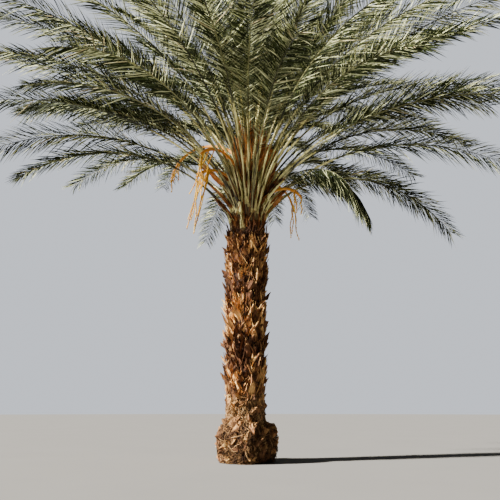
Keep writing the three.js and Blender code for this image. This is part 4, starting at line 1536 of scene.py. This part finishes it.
class PalmCrownSizes(bpy.types.PropertyGroup):
    """Sizes of the crown, with the same defaults as the solids."""

    length_old: length_property("Lowest fronds", "Length of the oldest fronds", 5.0)
    length_prime: length_property("Longest fronds", "Length of the fronds in their prime", 5.6)
    length_young: length_property("Heart fronds", "Length of the youngest open fronds", 4.4)
    start_low: angle_property("Lowest start", "Slope at the foot of the lowest fronds", 70)
    start_high: angle_property("Highest start", "Slope at the foot of the highest fronds", 86)
    end_low: angle_property("Lowest end", "Slope at the tip of the lowest fronds", -36)
    end_high: angle_property("Highest end", "Slope at the tip of the highest fronds", 58)
    pairs: count_property("Leaflet pairs", "Pairs of leaflets on a frond", 178, 8)
    leaflet_long: length_property("Longest leaflet", "Length of the longest leaflets", 0.53)
    leaflet_short: length_property("Shortest leaflet", "Length of those nearest the stalk", 0.15)
    leaflet_half: length_property("Leaflet half width", "Half its width when laid flat", 0.0086)
    leaflet_angle: angle_property("Leaflet angle", "Between a low leaflet and its rib", 60)
    leaflet_angle_tip: angle_property("Tip leaflet angle", "Between the last ones and the rib", 40)
    strands: count_property("Strands", "Strands on a fruit stalk for each metre of them", 6)


class PalmColors(bpy.types.PropertyGroup):
    """Colours of the palm, from its roots to its leaves."""

    # The deep leaf colour is painted shade, and the pale one is partly a painted sunlit highlight
    leaf_deep: color_property("Deep leaf", "Leaflets deep in the crown", (0.0165, 0.0205, 0.0078))
    leaf: color_property("Leaf", "Most leaflets", (0.045, 0.061, 0.0168))
    leaf_pale: color_property("Pale leaf", "Lightest leaflets", (0.86, 0.89, 0.5))
    leaf_straw: color_property("Dry leaf", "Dry leaflets", (0.4, 0.31, 0.16))
    stalk_pale: color_property("Pale stalk", "Feet of the leaf stalks", (1.0, 0.86, 0.25))
    stalk_green: color_property("Green stalk", "Middle of the ribs", (0.11, 0.118, 0.03))
    sheath: color_property("Sheath", "Fibre between the leaf stalks", (0.3, 0.104, 0.03))
    sheath_young: color_property("Young sheath", "Darker parts at the heart", (0.62, 0.2, 0.05))
    sheath_bright: color_property("Bright sheath", "Lighter parts at the heart", (0.95, 0.42, 0.13))
    # The dark bark is the dark fibre's own brown, and also painted shade in the gaps between the leaf
    # bases
    bark_dark_and_gap_shade: color_property("Dark bark", "Gaps between the leaf bases", (0.029, 0.0116, 0.005))
    bark: color_property("Bark", "Leaf bases", (0.262, 0.103, 0.039))
    bark_light: color_property("Light bark", "Sunlit leaf bases", (1.0, 0.56, 0.2))
    bark_worn: color_property("Worn bark", "Weathered foot of the trunk", (0.39, 0.205, 0.072))
    cut: color_property("Cut face", "Cut faces of the leaf bases", (1.0, 0.68, 0.235))
    fruit_stalk: color_property("Fruit stalk", "Arching fruit stalks", (0.68, 0.235, 0.032))
    fruit_strand: color_property("Fruit strand", "Strands of the fruit stalks", (0.76, 0.42, 0.035))


class PalmStage(bpy.types.PropertyGroup):
    """Floor and light."""

    floor_radius: length_property("Floor radius", "Radius of the round floor", 80.0)
    sun_strength: light_property("Main light", "Strength of the main light", 22.0)
    backdrop: light_property("Backdrop", "Brightness of the backdrop", 0.9)
    fill_strength: light_property("Fill light", "Strength of the even light", 0.09)


def nodes_named(start):
    return [name for name in frame["nodes"] if name.startswith(start)]


def cover_trunk(scene, name, grow):
    """Makes one piece of the trunk's cover."""
    settle(grow(name, scene.palm_trunk, scene.palm_colors), "trunk", "trunk")


class PALM_OT_bark(bpy.types.Operator):
    """Make the stem, its swollen foot and the bud core with the bark's relief"""

    bl_idname = "palm.bark"
    bl_label = "Bark"

    def execute(self, context):
        cover_trunk(context.scene, "bark", grow_bark)
        return {"FINISHED"}


class PALM_OT_leaf_stubs(bpy.types.Operator):
    """Make the torn and cut leaf bases on the stem's lattice"""

    bl_idname = "palm.leaf_stubs"
    bl_label = "Leaf bases"

    def execute(self, context):
        cover_trunk(context.scene, "leaf_stubs", grow_leaf_stubs)
        return {"FINISHED"}


class PALM_OT_fibre(bpy.types.Operator):
    """Make the torn fibre between the leaf bases"""

    bl_idname = "palm.fibre"
    bl_label = "Trunk fibre"

    def execute(self, context):
        cover_trunk(context.scene, "trunk_fibre", grow_fibre)
        return {"FINISHED"}


class PALM_OT_roots(bpy.types.Operator):
    """Make the matted rootlets on the swollen foot"""

    bl_idname = "palm.roots"
    bl_label = "Rootlets"

    def execute(self, context):
        cover_trunk(context.scene, "rootlets", grow_roots)
        return {"FINISHED"}


class PALM_OT_sheath(bpy.types.Operator):
    """Make the fibre sheets between the feet of the fronds"""

    bl_idname = "palm.sheath"
    bl_label = "Crown fibre"

    def execute(self, context):
        scene = context.scene
        fronds = open_fronds(scene.palm_crown)
        settle(grow_sheath("crown_fibre", fronds, scene.palm_colors), "trunk", "trunk")
        return {"FINISHED"}


class PALM_OT_ribs(bpy.types.Operator):
    """Make the stalks and ribs of all fronds, their spines and the cut stalks"""

    bl_idname = "palm.ribs"
    bl_label = "Leaf stalks and ribs"

    def execute(self, context):
        sizes, colors = context.scene.palm_crown, context.scene.palm_colors
        fronds = open_fronds(sizes)
        settle(grow_ribs("ribs", fronds, colors), "frond", *nodes_named("frond"))
        settle(grow_ribs("young_ribs", young_fronds(sizes), colors), "young_frond", "young_fronds")
        settle(grow_spines("stalk_spines", fronds, colors), "frond")
        settle(grow_stumps("stalk_stumps", colors), "frond")
        return {"FINISHED"}


class PALM_OT_leaflets(bpy.types.Operator):
    """Make the leaflets of all fronds in four joined pieces, and the spears"""

    bl_idname = "palm.leaflets"
    bl_label = "Leaflets"

    def execute(self, context):
        sizes, colors = context.scene.palm_crown, context.scene.palm_colors
        fronds = open_fronds(sizes)
        third = len(fronds) // 3
        parts = [("low", fronds[:third]), ("middle", fronds[third:-third]), ("high", fronds[-third:])]
        for place, group in parts:
            settle(grow_leaflets(f"leaflets_{place}", group, sizes, colors), "frond")
        young = young_fronds(sizes)
        settle(grow_leaflets("leaflets_young", young, sizes, colors), "young_frond")
        settle(grow_spears("spears", colors), "young_frond")
        return {"FINISHED"}


class PALM_OT_fruit_stalks(bpy.types.Operator):
    """Make the arching fruit stalks, their strands and beads"""

    bl_idname = "palm.fruit_stalks"
    bl_label = "Fruit stalks"

    def execute(self, context):
        colors = context.scene.palm_colors
        nodes = nodes_named("fruit_stalk")
        settle(grow_fruit_stalks("fruit_stalks", colors), "fruit_stalk", *nodes)
        strands = strand_rows(context.scene.palm_crown)
        piece = swept("fruit_strands", strands, stalk_materials(colors), THIN_SECTION)
        settle(piece, "fruit_stalk", *nodes)
        settle(grow_beads("fruit_beads", strands, colors), "fruit_stalk")
        return {"FINISHED"}


FLOOR_CORNERS = 96
FLOOR_DARK = (0.222, 0.214, 0.201)
FLOOR_LIGHT = (0.247, 0.239, 0.226)
SUN_WAY = (0.87, 0.3, -0.46)
SUN_WIDTH = math.radians(4)
SUN_COLOR = (1.0, 0.965, 0.9)
SKY_COLOR = (0.86, 0.91, 1.0, 1.0)


class PALM_OT_stage(bpy.types.Operator):
    """Make the pale floor, the soft light and the camera"""

    bl_idname = "palm.stage"
    bl_label = "Floor, light and camera"

    def execute(self, context):
        scene = context.scene
        stage = scene.palm_stage
        turns = np.linspace(0.0, FULL_TURN, FLOOR_CORNERS, endpoint=False)
        disc = mesh_of("floor", level_way(turns) * stage.floor_radius, [range(FLOOR_CORNERS)])
        floor = link(bpy.data.objects.new("floor", disc))
        finish = Finish("floor_plain", 0.9, 0.2)
        finish.feed("Base Color", finish.blend(finish.grain(0.6), FLOOR_DARK, FLOOR_LIGHT))
        floor.data.materials.append(finish.material)

        sun = bpy.data.lights.new("main_light", "SUN")
        sun.energy = stage.sun_strength
        sun.angle = SUN_WIDTH
        sun.color = SUN_COLOR
        lamp = link(bpy.data.objects.new("main_light", sun))
        lamp.rotation_euler = Vector(SUN_WAY).to_track_quat("-Z", "Y").to_euler()

        world = bpy.data.worlds.new("pale_world")
        world.use_nodes = True
        sky = Graph(world.node_tree)
        background = world.node_tree.nodes["Background"]
        background.inputs["Color"].default_value = SKY_COLOR
        seen = sky.add("ShaderNodeLightPath", output="Is Camera Ray")
        strength = seen * (stage.backdrop - stage.fill_strength) + stage.fill_strength
        world.node_tree.links.new(strength.socket, background.inputs["Strength"])
        scene.world = world

        lens = bpy.data.cameras.new("camera")
        lens.lens = CAMERA_LENS
        lens.sensor_width = CAMERA_SENSOR
        lens.clip_end = CAMERA_FAR
        camera = link(bpy.data.objects.new("camera", lens))
        camera.location = CAMERA_PLACE
        camera.rotation_euler = (math.pi / 2 + CAMERA_TILT, 0.0, 0.0)
        scene.camera = camera
        return {"FINISHED"}


OPERATORS = (
    PALM_OT_stage,
    PALM_OT_bark,
    PALM_OT_leaf_stubs,
    PALM_OT_fibre,
    PALM_OT_roots,
    PALM_OT_sheath,
    PALM_OT_ribs,
    PALM_OT_leaflets,
    PALM_OT_fruit_stalks,
)

GROUPS = (
    ("palm_trunk", PalmTrunkSizes),
    ("palm_crown", PalmCrownSizes),
    ("palm_colors", PalmColors),
    ("palm_stage", PalmStage),
)


class PALM_PT_panel(bpy.types.Panel):
    """Sizes, colours and steps of the palm"""

    bl_label = "Date palm"
    bl_idname = "PALM_PT_panel"
    bl_space_type = "VIEW_3D"
    bl_region_type = "UI"
    bl_category = "Palm"

    def draw(self, context):
        for key, group in GROUPS:
            box = self.layout.box()
            box.label(text=group.__doc__)
            for name in group.__annotations__:
                box.prop(getattr(context.scene, key), name)
        for operator in OPERATORS:
            self.layout.operator(operator.bl_idname)


def register():
    for key, group in GROUPS:
        bpy.utils.register_class(group)
        setattr(bpy.types.Scene, key, PointerProperty(type=group))
    for made in (*OPERATORS, PALM_PT_panel):
        bpy.utils.register_class(made)


def unregister():
    for made in reversed((*OPERATORS, PALM_PT_panel)):
        bpy.utils.unregister_class(made)
    for key, group in reversed(GROUPS):
        delattr(bpy.types.Scene, key)
        bpy.utils.unregister_class(group)


def main():
    register()
    for operator in OPERATORS:
        getattr(bpy.ops.palm, operator.bl_idname.split(".")[1])()


if __name__ == "__main__":
    main()
